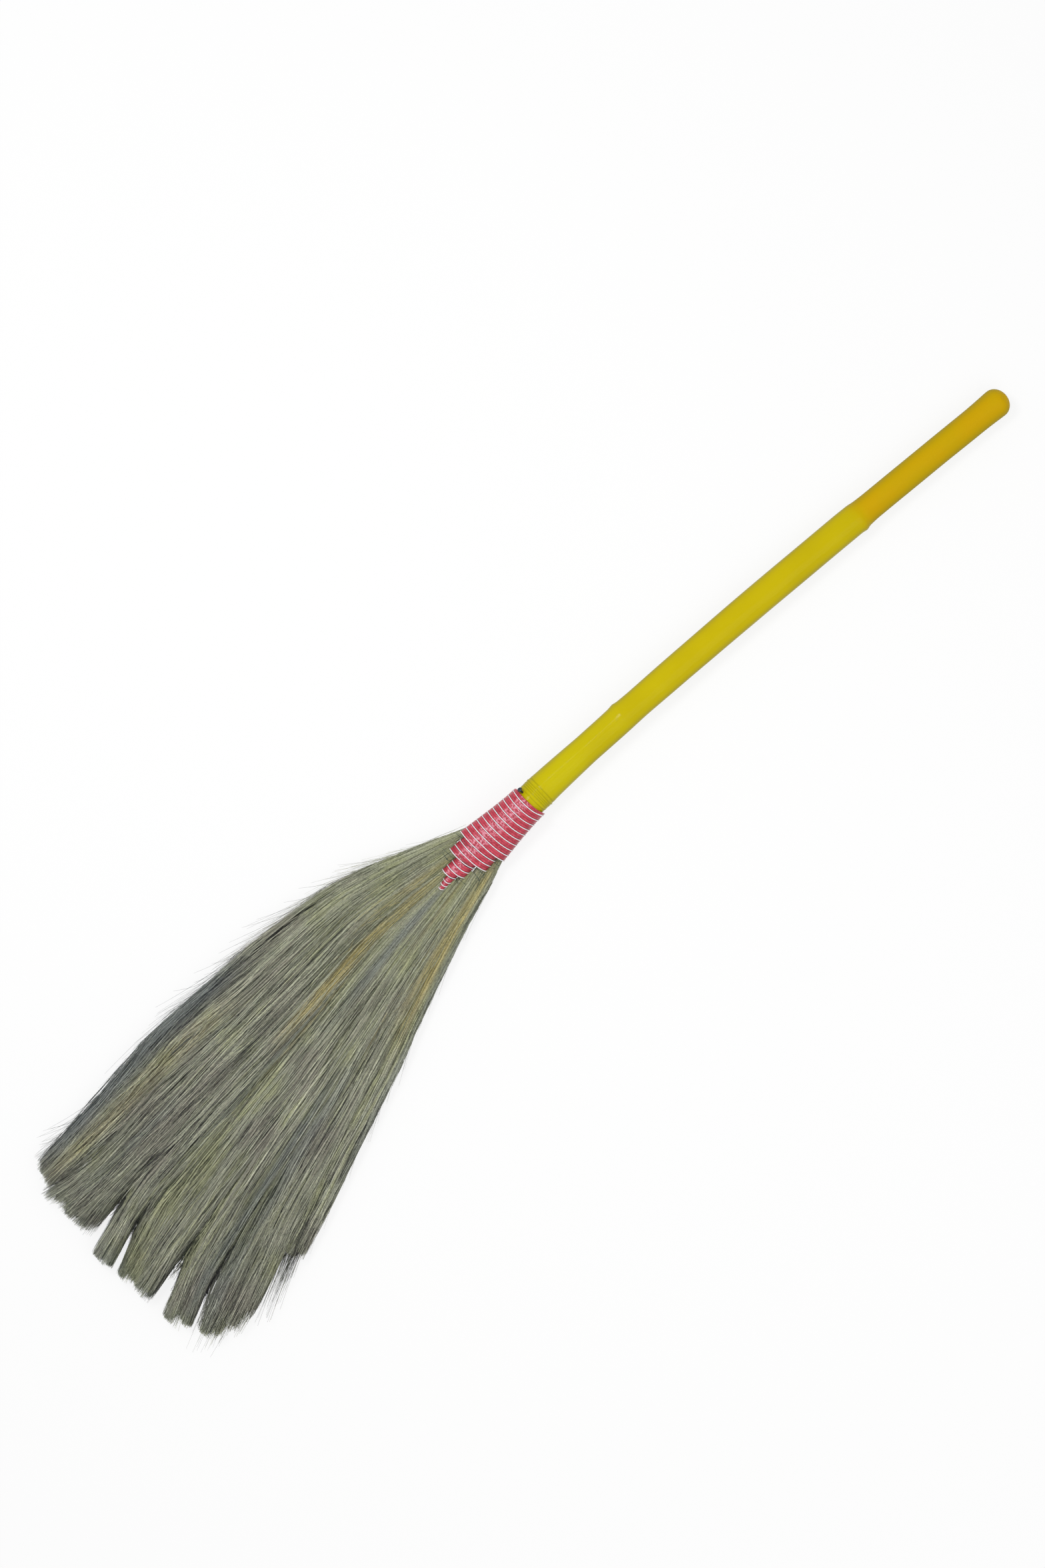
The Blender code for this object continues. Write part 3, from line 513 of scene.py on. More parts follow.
# the winding goes round the neck: a red ribbon, with a white strand between its turns
winding = {
    "pitch": 0.00525, "tipPitch": 0.0036, "turns": 20, "tipTurn": 17, "lead": 1.05,
    "sag": 0.0028, "taut": 0.5,
    "pointsPerTurn": 60,
    "filament": 0.00040,  # radius of the white strand
    "filamentStand": 0.0003,  # between the white strand and the grass
    "ribbonGap": 0.00008,  # between the ribbon and the white strand
    # where the winding draws in: (turn, line it keeps to), on the -Y side and on the +Y side
    "rightLines": ((0, 0), (9.6, 0), (9.95, 1), (12.6, 1), (12.95, 2), (15.6, 2), (15.95, 3)),
    "leftLines": ((0, 7), (10.55, 7), (10.9, 6), (13.55, 6), (13.9, 5), (16.55, 5), (16.9, 4)),
    # the last turns draw in to a point: share of the width given up on the -Y side and on the +Y side
    "tipRight": ((17.6, 0), (19.0, 0.04), (20, 0.14)),
    "tipLeft": ((17.6, 0), (19.0, 0.2), (20, 0.62)),
    # how much lower than a whole turn the first one starts: (turn, mm)
    "firstEdge": ((0, 2.6), (0.25, 1.2), (0.42, 1.6), (0.5, 2.9), (0.75, 1.5), (1, 0)),
    # across the ribbon: place from edge to edge, and height of its face in mm
    "profile": (
        (-1, 0.14), (-0.95, 0.24), (-0.8, 0.36), (-0.52, 0.44), (-0.25, 0.40), (-0.07, 0.30), (0, 0.22),
        (0.07, 0.30), (0.25, 0.40), (0.52, 0.44), (0.8, 0.36), (0.95, 0.24), (1, 0.14),
    ),
    "ribbonStand": 0.0001,
    # folds of the ribbon: height in mm, how fast they change along and across, and a number of their own
    "crumples": ((0.09, 11.0, 1.3, 3.0), (0.05, 31.0, 2.5, 9.0)),
    "edgeWaver": 0.00012,
    "wrapTurn": 0.22,  # the painted highlight on top and the painted shade at the sides turn this many radians from the top, towards +Y
}


def turnDown(turn):
    plain = min(turn, winding["tipTurn"])
    return winding["pitch"] * (plain + winding["lead"]) + winding["tipPitch"] * (turn - plain)


def ringSides(turn, down):
    # lowest and highest y of the grass that this part of the winding goes round
    lines = neck["lines"]
    right = float(table([(t, lines[n]) for t, n in winding["rightLines"]], turn))
    left = float(table([(t, lines[n]) for t, n in winding["leftLines"]], turn))
    y, width = neckMiddle(down)[0], neckWidth(down)
    span = left - right
    right += float(table(winding["tipRight"], turn)) * span
    left -= float(table(winding["tipLeft"], turn)) * span
    return y + (right - 0.5) * width, y + (left - 0.5) * width


def ringPlace(turn, down, stand):
    # a point on the winding, this far outside the grass
    angle = 2 * math.pi * turn
    slack = 1 - winding["taut"] * down / neck["length"]
    down = down + winding["sag"] * slack * math.sin(angle) ** 2
    low, high = ringSides(turn, down)
    a, b = rounded(angle, neck["roundness"])
    y = (low + high) / 2 - a * ((high - low) / 2 + stand)
    z = neckMiddle(down)[1] + b * (neckHeight(down) / 2 + stand)
    return (neckX - down, y, z)


def makeFilament():
    steps = winding["pointsPerTurn"]
    turns = [i / steps for i in range(winding["turns"] * steps + 1)]
    radius = winding["filament"]
    path = [ringPlace(t, turnDown(t), winding["filamentStand"] + radius) for t in turns]
    return ringMesh("whiteFilament", tubeRings(path, radius, 8))


def makeRibbon():
    steps = winding["pointsPerTurn"]
    count = winding["turns"] * steps
    rings, lengths, length = [], [], 0.0
    before = None
    for i in range(count + 1):
        turn = i / steps
        lower, upper = turnDown(turn), turnDown(turn - 1)
        upper += float(table(winding["firstEdge"], turn)) * mm
        half = (lower - upper) / 2 - winding["filament"] - winding["ribbonGap"]
        middle = (lower + upper) / 2
        ring = []
        for s, height in winding["profile"]:
            for depth, along, over, seed in winding["crumples"]:
                height += depth * noise.noise(Vector((turn * along, s * over, seed)))
            edge = winding["edgeWaver"] * noise.noise(Vector((turn * 17.0, 5.0 if s < 0 else 8.0, 0)))
            ring.append(ringPlace(turn, middle + s * half + abs(s) * edge, height * mm + winding["ribbonStand"]))
        for s in (1, 0, -1):
            ring.append(ringPlace(turn, middle + s * half, 0.00005))
        rings.append(ring)
        here = np.asarray(ring[6])
        length += 0 if before is None else float(np.linalg.norm(here - before))
        before = here
        lengths.append(length)
    mesh = ringMesh("redRibbon", rings)
    sides = len(rings[0])
    across = [(s + 1) / 2 for s, _ in winding["profile"]] + [1, 0.5, 0]
    names = ("strip", "wrap")
    for name in names:
        mesh.uv_layers.new(name=name)
    strip, wrap = (mesh.uv_layers[name].data for name in names)
    for loop in mesh.loops:
        row, column = divmod(loop.vertex_index, sides)
        strip[loop.index].uv = (lengths[row] * 100, across[column])
        # 1 on top, a little towards +Y, and 0.5 at the sides
        upward = 0.5 + 0.5 * math.sin(2 * math.pi * row / steps - winding["wrapTurn"])
        wrap[loop.index].uv = (0, upward)
    return mesh


def makeRibbonMaterial():
    # one strip of shiny woven film, crumpled, with a fold along its middle: u is centimetres along,
    # v goes from edge to edge
    made, tools, shader = newMaterial("red ribbon", Specular_IOR_Level=0.27)
    blend, span, mottle = tools.blend, tools.span, tools.mottle
    uv = tools.uv("strip")
    across = tools.split(uv)[1]
    place = tools.place()
    patch = mottle(place, 260.0, 3.0, 0.65)
    fleck = mottle(place, 900.0, 2.0, 0.6)
    colour = blend(span(patch, 0.32, 0.7), (0.43, 0.027, 0.050), (0.62, 0.062, 0.10))
    # painted highlight: pale pink flecks stand in for sparkles of light on the shiny film
    pale = mottle(place, 420.0, 2.0, 0.6)
    colour = blend(span(pale, 0.60, 0.74, 0.0, 0.5), colour, (0.80, 0.22, 0.32))
    colour = blend(span(fleck, 0.64, 0.72, 0.0, 0.6), colour, (0.17, 0.07, 0.03))
    fold = tools.calc("ABSOLUTE", tools.minus(across, 0.5))
    # painted shade in the fold along the middle
    colour = blend(span(fold, 0.07, 0.0, 0.0, 0.7), colour, (0.15, 0.010, 0.03))
    # painted shade along both edges, beside the white strand
    colour = blend(span(fold, 0.44, 0.5, 0.0, 0.8), colour, (0.13, 0.010, 0.025))
    upward = tools.split(tools.uv("wrap"))[1]
    # painted highlight: pale pink patches along the top, where the lamps glint
    paintedRidgeHighlight = span(mottle(place, 520.0, 2.0, 0.6), 0.46, 0.60, 0.05, 0.62)
    colour = blend(tools.times(span(upward, 0.965, 0.998), paintedRidgeHighlight), colour, (0.88, 0.42, 0.52))
    # painted shade: darker towards the winding's sides
    colour = blend(span(upward, 0.90, 0.5, 0.0, 0.4), colour, (0.26, 0.015, 0.035))
    # ribs across the strip catch the light one by one
    ribs = tools.add("ShaderNodeTexWave", {"Vector": uv, "Scale": 3.0, "Distortion": 1.6, "Detail": 1.5})
    crinkle = tools.plus(ribs.outputs["Fac"], tools.times(patch, 1.2))
    crinkle = tools.plus(crinkle, tools.times(fleck, 0.5))
    rough = span(patch, 0.35, 0.65, 0.10, 0.26, False)
    feed(tools, shader, Base_Color=colour, Roughness=rough, Normal=tools.bump(crinkle, 0.20, 0.0004))
    return made


def makeFilamentMaterial():
    made, tools, shader = newMaterial("white filament", Roughness=0.35, Subsurface_Weight=0.1)
    place = tools.place()
    stain = tools.span(tools.mottle(place, 160.0, 2.0), 0.4, 0.7, 0.0, 0.6)
    colour = tools.blend(stain, (0.95, 0.91, 0.93), (0.93, 0.74, 0.79))
    feed(tools, shader, Base_Color=colour, Normal=tools.bump(tools.mottle(place, 2500.0), 0.2, 0.0001))
    return made


newObject("redRibbon", makeRibbon(), makeRibbonMaterial(), "red_ribbon", "red_ribbon_winding")
newObject("whiteFilament", makeFilament(), makeFilamentMaterial(), "white_filament", "white_filament_winding")


# lines between the bundles and along the two edges, from the -Y side: (down, y) in mm
fanLines = (
    ((40, 11.0), (54, 8.5), (62, 4.8), (70, 1.2), (92, -4.8), (113, -10.8), (134, -17.9), (166, -28.8),
     (198, -40), (230, -53), (251, -59.5), (293, -73), (336, -88), (357, -95), (399, -107), (520, -149)),
    ((40, 15.0), (56, 12.8), (66, 10.5), (80, 6.5), (100, 1.8), (120, -3.0), (166, -15), (252, -41.5),
     (343, -71), (396, -88.5), (419, -97.5), (450, -108), (480, -116), (520, -128)),
    ((40, 20.2), (62, 19.4), (72, 17.6), (84, 15.0), (100, 12.4), (120, 8.8), (166, 0.7), (252, -18.7),
     (343, -39.7), (429, -58.6), (454, -65), (500, -86), (520, -94)),
    ((40, 24.0), (82, 23.0), (90, 22.0), (100, 20.6), (120, 18.8), (166, 13.2), (252, -1.5), (343, -17),
     (429, -30.5), (450, -34), (503, -50), (520, -55)),
    ((40, 28.0), (84, 29.6), (108, 30.6), (125, 31.2), (166, 31.5), (252, 26), (343, 20), (429, 15.5),
     (455, 11.9), (503, -5), (520, -10)),
    ((40, 32.5), (74, 33.6), (92, 35.0), (104, 37.0), (120, 39.2), (166, 43.3), (252, 40), (343, 36.5),
     (429, 34), (457, 31.5), (505, 22), (520, 19)),
    ((40, 38.5), (58, 41.0), (66, 44.0), (78, 48.0), (100, 53), (120, 57.5), (166, 66.2), (252, 67.2),
     (343, 68.2), (429, 70.4), (460, 73.5), (500, 79), (520, 81)),
    ((40, 42.2), (54, 44.6), (62, 48.0), (70, 53.0), (92, 61.5), (113, 71.0), (134, 80), (166, 90),
     (198, 95), (230, 99.5), (251, 102.5), (293, 104.5), (336, 107), (357, 108), (399, 105), (442, 103),
     (484, 99), (520, 95)),
)

grass = {
    "floorGap": 0.0004,
    "fanHeights": (
        (0, 16), (60, 16.5), (84, 15.8), (104, 15.4), (120, 17.5), (166, 21.5), (212, 24), (360, 23), (505, 18.5),
    ),
    "fanFloors": ((0, 5), (60, 5), (90, 5), (120, 2.4), (150, 0.6), (170, 0), (520, 0)),
    "fanFrom": 60, "fanOver": 110,  # where it opens to its full shape, mm
    "edgeThin": 0.40,  # the fan is this much thinner at its two edges
    "tipGaps": (0, 1.5, 4.6, 9.0, 5.0, 6.0, -0.9, 0),  # mm between each line and the tips beside it
    "tipGapFrom": 0.885,  # share of the length where those gaps begin
    "guidePoints": 72,
    "length": 0.505,
    "riseOver": 34,  # from the winding a bundle rises to its full height over this, mm
    # above the notches the bundles run into each other: how far, over what length it starts, and
    # where and over what length it ends, mm
    "meetWide": 1.2, "meetOver": 14, "partFrom": 400, "partOver": 60,
    "rootUnder": 9,  # each bundle starts this far under the winding, mm
    "coreShort": 36,  # its dark core ends this far before the tips, mm
    "clumpsPerColumn": 1.3,
}

# key: what its name and its CAD node's name end in; columns of strands; leaves: where it leaves the
# winding (down mm); tips: where they end (down mm, from -Y to +Y); then a golden and a slate streak,
# each with its place across, width, from, to and strength
Bundle = namedtuple("Bundle", "key columns leaves tips gold slate")
bundles = (
    Bundle("right_outer", 4, 57, (388, 394, 397, 398, 400),
           (0.74, 0.46, 0.02, 0.34, 1.0), (0.06, 0.25, 0.05, 0.6, 0.35)),
    Bundle("right_middle", 6, 70, (444, 466, 480, 488, 489),
           (0.12, 0.30, 0.0, 0.28, 0.8), (0.8, 0.2, 0.45, 0.95, 0.45)),
    Bundle("right_inner", 5, 86, (493, 494, 490, 501, 500),
           (0.5, 0.2, 0.0, 0.14, 0.5), (0.2, 0.2, 0.45, 0.95, 0.6)),
    Bundle("centre", 8, 100, (498, 503, 496, 500, 505),
           (0.9, 0.05, 0.25, 0.5, 0.4), (0.45, 0.25, 0.0, 0.3, 0.55)),
    Bundle("left_inner", 4, 94, (503, 504, 505, 505, 505),
           (0.5, 0.42, 0.0, 0.42, 0.95), (0.1, 0.2, 0.3, 0.75, 0.4)),
    Bundle("left_middle", 6, 78, (488, 501, 498, 494, 502),
           (0.30, 0.22, 0.0, 0.16, 0.75), (0.6, 0.15, 0.7, 0.95, 0.35)),
    Bundle("left_outer", 5, 62, (491, 494, 490, 488, 484),
           (0.40, 0.26, 0.52, 0.97, 0.28), (0.98, 0.42, 0.46, 0.95, 0.82)),
)

# the strands of one bundle: long stems, and short fibres over them
strandKinds = (
    ("", {
        "perColumn": 250, "Points each": 13, "Radius": 0.00027, "Shortest": 1.0, "Longest": 1.0,
        "Clump pull": 0.62, "Drift": 0.5, "Crossing": 0.0, "Wave": 0.0010, "Surface": 0.6, "Depth": 0.30,
        "Dive": 0.0, "Ragged": 0.030, "Dark share": 0.10, "Core": 1.0, "Fray": 0.0055, "Wander": 1.4,
    }),
    ("Fibres", {
        "perColumn": 1230, "Points each": 4, "Radius": 0.00020, "Shortest": 0.06, "Longest": 0.24,
        "Clump pull": 0.45, "Drift": 1.3, "Crossing": 0.10, "Wave": 0.0007, "Surface": 0.22, "Depth": 0.10,
        "Dive": 0.0011, "Ragged": 0.035, "Dark share": 0.24, "Core": 0.0, "Fray": 0.0055, "Wander": 1.4,
    }),
)

# loose hairs: along the fan's two edges, in its notches, and across its top
looseKind = {
    "Points each": 7, "Radius": 0.00013, "Shortest": 0.06, "Longest": 0.17, "Dark share": 0.35,
    "Surface": 1.0, "Fray": 0.0, "Edge room": 0.03, "Clump pull": 0.1,
}
# the hairs in the notches are mostly dark: partly dark strands, partly painted shade inside the notches
notchKind = {
    "Earliest": 0.80, "Latest": 0.96, "Shortest": 0.04, "Longest": 0.10, "Dark share": 0.9,
    "Radius": 0.00028, "Surface": 0.5, "Wander": 0.0,
}
crossKind = {"Surface": 0.1, "Edge room": 0.01}
goldKind = {
    **crossKind, "Gold": 1.0, "Gold from": 0.0, "Gold to": 1.0, "Gold place": 0.5, "Gold width": 1.5,
}
tipKind = {
    "Earliest": 0.85, "Overrun": 0.135, "Radius": 0.00017, "Dark share": 0.85, "Clumps": 4,
    "Clump pull": 0.7, "Wander": 0.0,
}
# bundle, strands, where across the bundle they start, how far they splay, then what differs
strays = (
    (0, 45, (0.0, 0.10), -0.006, {"Earliest": 0.0, "Radius": 0.00011}),
    (0, 220, (0.35, 0.95), -0.027, tipKind),
    (1, 90, (0.93, 1.0), 0.005, notchKind),
    (2, 90, (0.0, 0.08), -0.004, notchKind),
    (2, 150, (0.88, 1.0), 0.009, notchKind),
    (3, 150, (0.0, 0.06), -0.009, notchKind),
    (3, 100, (0.96, 1.0), 0.006, notchKind),
    (4, 100, (0.0, 0.10), -0.005, notchKind),
    (4, 110, (0.90, 1.0), 0.006, notchKind),
    (5, 100, (0.0, 0.07), -0.006, notchKind),
    (1, 90, (0.3, 1.0), -0.006, {"Earliest": 0.85, "Overrun": 0.05, "Radius": 0.00014, "Dark share": 0.6}),
    (6, 70, (0.9, 1.0), 0.015, {"Earliest": 0.1, "Longest": 0.22, "Radius": 0.00013, "Dark share": 0.7}),
    (6, 300, (0.93, 1.0), 0.007, {"Earliest": 0.0, "Radius": 0.00010}),
    (5, 90, (0.0, 1.0), 0.0, {**goldKind, "Crossing": 0.5, "Latest": 0.30}),
    (4, 110, (0.0, 1.0), 0.0, {**goldKind, "Crossing": 0.4, "Latest": 0.40}),
    (3, 120, (0.0, 1.0), 0.0, {**crossKind, "Crossing": 0.4, "Latest": 0.7, "Dark share": 0.0}),
    (1, 90, (0.0, 1.0), 0.0, {**goldKind, "Crossing": 0.35, "Latest": 0.35}),
)


def neckTop(down, y):
    # the bound grass seen from above: its height at this place
    middleY, middleZ = neckMiddle(down)
    inside = min(1, abs(y - middleY) / (neckWidth(down) / 2))
    return middleZ + dome(inside, neck["roundness"]) * neckHeight(down) / 2


def bundleSection(index, downs):
    # right and left sides, underside, top and squareness of a bundle; all in mm
    downs = np.asarray(downs, float)
    right, left = (soft(fanLines[index + k], downs, 9) for k in (0, 1))
    low, high = soft(fanLines[0], downs, 9), soft(fanLines[7], downs, 9)
    across = 2 * ((right + left) / 2 - low) / (high - low) - 1
    spread = np.clip((downs - grass["fanFrom"]) / grass["fanOver"], 0, 1)
    floor = soft(grass["fanFloors"], downs, 8)
    top = soft(grass["fanHeights"], downs, 10) * (1 - grass["edgeThin"] * across ** 2 * spread)
    # near the winding it lies as low as the bound grass there
    leaves = bundles[index].leaves
    for i, down in enumerate(downs):
        share = np.clip((down - leaves + 4) / grass["riseOver"], 0, 1)
        place = min(down, neck["length"] / mm) * mm
        bound = neckTop(place, (right[i] + left[i]) / 2 * mm) / mm - 1.2
        top[i] = min(top[i], bound + (top[i] + 4 - bound) * share * share)
    floor = np.minimum(floor, top - 3)
    share = np.clip((downs / 505 - grass["tipGapFrom"]) / (1 - grass["tipGapFrom"]), 0, 1) ** 0.8
    meet = np.clip((downs - leaves - 1) / grass["meetOver"], 0, 1)
    meet = meet * (1 - np.clip((downs - grass["partFrom"]) / grass["partOver"], 0, 1)) * grass["meetWide"]
    right = right + grass["tipGaps"][index] * share - (meet if index > 0 else 0)
    left = left - grass["tipGaps"][index + 1] * share + (meet if index < 6 else 0)
    return right, left, floor, top, 3.0 + 1.7 * spread


def makeGuide(index, start, name):
    # a line of points down the bundle, each with the half width, half height and squareness there,
    # and with the end of the tips across the bundle, as a share of the line
    count = grass["guidePoints"]
    downs = np.linspace(start, grass["length"] / mm, count)
    right, left, floor, top, square = bundleSection(index, downs)
    middle = np.stack([neckX / mm - downs, (right + left) / 2, (floor + top) / 2], axis=1) * mm
    half = np.stack([square, (left - right) / 2 * mm, (top - floor) / 2 * mm], axis=1)
    mesh = bpy.data.meshes.new(name + "Guide")
    mesh.from_pydata(middle.tolist(), [(i, i + 1) for i in range(count - 1)], [])
    halves = mesh.attributes.new("half", "FLOAT_VECTOR", "POINT")
    halves.data.foreach_set("vector", half.astype(np.float32).ravel())
    places = np.linspace(0, 1, count)
    ends = np.interp(places, np.linspace(0, 1, 5), bundles[index].tips)
    ends = (ends - start) / (grass["length"] / mm - start)
    tips = mesh.attributes.new("tip", "FLOAT_VECTOR", "POINT")
    tips.data.foreach_set("vector", np.stack([ends, ends * 0, ends * 0], axis=1).astype(np.float32).ravel())
    return mesh


# every input of the strands' tree, with its plain value; whole numbers are counts
grassInputs = {
    "Strands": 1000, "Points each": 10, "Seed": 1, "Radius": 0.0003,
    "Shortest": 1.0, "Longest": 1.0, "Earliest": 0.0, "Latest": 1.0, "Overrun": 0.0,
    "Side low": 0.0, "Side high": 1.0, "Splay": 0.0,
    "Clumps": 12, "Clump pull": 0.5, "Drift": 0.1, "Crossing": 0.0,
    "Wave": 0.0004, "Surface": 0.5, "Depth": 0.2, "Dive": 0.0,
    "Ragged": 0.02, "Fray": 0.0, "Edge room": 0.0006, "Wander": 0.0, "Core end": 0.9,
    "Dark share": 0.2, "Core": 0.0,
}
streakInputs = {" place": 0.5, " width": 0.1, " from": 0.0, " to": 1.0}
for word in ("Gold", "Slate"):
    grassInputs.update({word + ending: value for ending, value in streakInputs.items()})
    grassInputs[word] = 0.0


def makeGrassTree(material):
    tree = bpy.data.node_groups.new("grass strands", "GeometryNodeTree")
    face = tree.interface
    face.new_socket("Geometry", in_out="INPUT", socket_type="NodeSocketGeometry")
    for name, value in grassInputs.items():
        kind = "NodeSocketInt" if isinstance(value, int) else "NodeSocketFloat"
        face.new_socket(name, in_out="INPUT", socket_type=kind).default_value = value
    face.new_socket("Geometry", in_out="OUTPUT", socket_type="NodeSocketGeometry")
    tools = Tools(tree)
    calc, span, add = tools.calc, tools.span, tools.add
    times, plus, minus = tools.times, tools.plus, tools.minus
    given = add("NodeGroupInput").outputs
    guide = given["Geometry"]

    def named(name, kind="FLOAT_VECTOR"):
        return add("GeometryNodeInputNamedAttribute", {"Name": name}, data_type=kind).outputs[0]

    def store(geometry, notes):
        for name, value in notes:
            values = {"Geometry": geometry, "Name": name, "Value": value}
            node = add("GeometryNodeStoreNamedAttribute", values, data_type="FLOAT", domain="POINT")
            geometry = node.outputs[0]
        return geometry

    def sample(value, along):
        # the guide's value at this share of its length
        spot = times(along, grass["guidePoints"] - 1.001)
        below = calc("FLOOR", spot)
        node = add("ShaderNodeMix", data_type="VECTOR")
        tree.links.new(minus(spot, below), node.inputs[0])
        for k, key in enumerate(("A_Vector", "B_Vector")):
            values = {"Geometry": guide, "Value": value, "Index": plus(below, k)}
            end = add("GeometryNodeSampleIndex", values, data_type="FLOAT_VECTOR", domain="POINT")
            tree.links.new(end.outputs[0], next(s for s in node.inputs if s.identifier == key))
        return tools.split(next(s for s in node.outputs if s.identifier == "Result_Vector"))

    index = add("GeometryNodeInputIndex").outputs[0]
    points = given["Points each"]
    strand = calc("FLOOR", calc("DIVIDE", plus(index, 0.5), points))
    step = calc("FLOOR", minus(plus(index, 0.1), times(strand, points)))
    run = calc("DIVIDE", step, minus(points, 1.0))

    def chance(extra, of=None):
        node = add("FunctionNodeRandomValue", {"Seed": plus(given["Seed"], extra)}, data_type="FLOAT")
        tree.links.new(strand if of is None else of, node.inputs["ID"])
        return node.outputs[1]

    def placeAt(along, across, up, sideways=0.0, lift=0.0, ahead=0.0):
        # a point of the bundle: across and up run from -1 to 1
        middle = sample(add("GeometryNodeInputPosition").outputs[0], along)
        half = sample(named("half"), along)
        inside = calc("MINIMUM", calc("ABSOLUTE", across), 0.995)
        room = calc("POWER", minus(1.0, calc("POWER", inside, half[0])), calc("DIVIDE", 1.0, half[0]))
        x = minus(middle[0], ahead)
        uneven = times(minus(chance(28), 0.7), span(along, 0.80, 1.0, 0.0006, 0.0058))
        widest = plus(half[1], plus(given["Edge room"], uneven))
        off = calc("MULTIPLY_ADD", across, half[1], sideways)
        off = calc("MAXIMUM", calc("MINIMUM", off, widest), times(widest, -1.0))
        y = plus(off, middle[1])
        z = calc("MULTIPLY_ADD", times(up, room), half[2], middle[2])
        z = calc("MAXIMUM", plus(z, lift), grass["floorGap"])
        return add("ShaderNodeCombineXYZ", {0: x, 1: y, 2: z}).outputs[0]

    side = span(chance(1), 0.0, 1.0, given["Side low"], given["Side high"], False)  # 0 to 1 across the bundle
    clump = calc("FLOOR", times(side, given["Clumps"]))
    clumpShift = times(minus(chance(21, clump), 0.5), 0.6)
    clumpMiddle = calc("DIVIDE", plus(plus(clump, 0.5), clumpShift), given["Clumps"])
    tip = sample(named("tip"), side)[0]
    short = calc("POWER", chance(2), 3.0)
    tip = minus(tip, times(short, given["Ragged"]))
    tip = minus(tip, times(calc("POWER", chance(22, clump), 2.0), 0.022))
    length = span(chance(14), 0.0, 1.0, given["Shortest"], given["Longest"], False)
    length = times(length, tip)
    atTip = calc("LESS_THAN", chance(15), 0.22)  # these end in the cut edge
    first = times(given["Earliest"], minus(tip, length))
    atTip = times(atTip, calc("GREATER_THAN", given["Latest"], 0.99))
    last = times(given["Latest"], minus(tip, length))
    start = span(calc("MAXIMUM", chance(3), atTip), 0.0, 1.0, first, last, False)
    along = calc("MULTIPLY_ADD", run, length, start)

    def clumpNoise(group, step, scale):
        # smooth noise along the length, of its own for each clump
        values = {"W": calc("MULTIPLY_ADD", group, step, times(along, scale)), "Scale": 1.0}
        return add("ShaderNodeTexNoise", values, noise_dimensions="1D").outputs[0]

    pull = times(given["Clump pull"], span(clumpNoise(clump, 7.3, 5.5), 0.38, 0.62, 0.05, 1.0))
    pull = times(pull, span(along, 0.08, 0.7, 0.1, 1.0))
    share = calc("MULTIPLY_ADD", minus(clumpMiddle, side), pull, side)

    def wander(group, scale, seed):
        # whole clumps lean over their neighbours, now this way and now that
        reach = times(given["Wander"], span(along, 0.1, 0.9, 0.15, 1.0))
        return times(minus(clumpNoise(group, 5.7 + seed, scale), 0.5), calc("DIVIDE", reach, given["Clumps"]))

    share = plus(share, times(wander(clump, 3.6, 0.0), 1.5))
    wide = calc("FLOOR", times(clump, 0.4))
    share = plus(share, times(wander(wide, 2.2, 1.7), 3.0))
    drift = minus(chance(4), 0.5)
    drift = times(times(drift, calc("POWER", calc("ABSOLUTE", drift), 1.5)), given["Drift"])
    drift = times(drift, times(along, span(along, 0.0, 0.6, 0.2, 1.0)))
    across = calc("MULTIPLY_ADD", plus(share, drift), 2.0, -1.0)
    across = calc("MAXIMUM", calc("MINIMUM", across, 1.03), -1.03)

    level = minus(times(chance(5), 2.0), 1.0)
    height = times(calc("SIGN", level), calc("POWER", calc("ABSOLUTE", level), given["Surface"]))
    height = times(height, minus(1.0, times(given["Depth"], chance(16))))
    inClump = times(minus(calc("FRACT", times(side, given["Clumps"])), 0.5), 2.0)
    dip = times(times(inClump, inClump), times(pull, 0.3))
    height = times(height, minus(1.0, dip))
    ends = calc("ABSOLUTE", minus(times(run, 2.0), 1.0))
    dive = times(times(calc("POWER", ends, 3.0), given["Dive"]), calc("SIGN", level))
    clumpRise = times(times(minus(chance(26, clump), 0.6), 0.0018), calc("SIGN", level))

    def ripple(extra, reach):
        turns = calc("MULTIPLY_ADD", chance(extra), 18.0, 4.0)
        phase = calc("MULTIPLY_ADD", along, turns, times(chance(extra + 1), 6.283))
        swing = times(calc("SINE", phase), times(reach, chance(extra + 2)))
        return times(swing, span(along, 0.0, 0.3, 0.15, 1.0))

    slant = minus(chance(17), 0.5)
    slant = times(times(slant, calc("ABSOLUTE", slant)), times(given["Crossing"], 4.0))
    slant = times(slant, times(minus(run, 0.5), times(length, 0.44)))
    splay = times(times(given["Splay"], chance(19)), calc("POWER", run, 1.6))
    fray = times(minus(chance(27), 0.5), given["Fray"])
    fray = times(fray, calc("POWER", span(along, minus(tip, 0.2), tip, 0.0, 1.0, False), 2.0))
    sideways = plus(plus(plus(slant, splay), fray), ripple(6, given["Wave"]))
    lift = minus(ripple(9, times(given["Wave"], 0.6)), dive)
    lift = plus(lift, times(clumpRise, span(along, 0.05, 0.6)))
    reach = times(calc("POWER", run, 1.3), 0.46)
    ahead = times(times(given["Overrun"], chance(19)), reach)
    place = placeAt(along, across, height, sideways, lift, ahead)
    cloud = add("GeometryNodePoints", {"Count": times(given["Strands"], points)}).outputs[0]
    cloud = add("GeometryNodeSetPosition", {"Geometry": cloud, "Position": place}).outputs[0]

    def streak(word):
        place, width, start, end = (given[word + ending] for ending in streakInputs)
        off = calc("ABSOLUTE", minus(calc("MULTIPLY_ADD", across, 0.5, 0.5), place))
        near = span(off, width, times(width, 0.3))
        begins = span(along, minus(start, 0.04), plus(start, 0.05))
        ends = span(along, plus(end, 0.08), minus(end, 0.08))
        return times(times(near, given[word]), times(begins, ends))

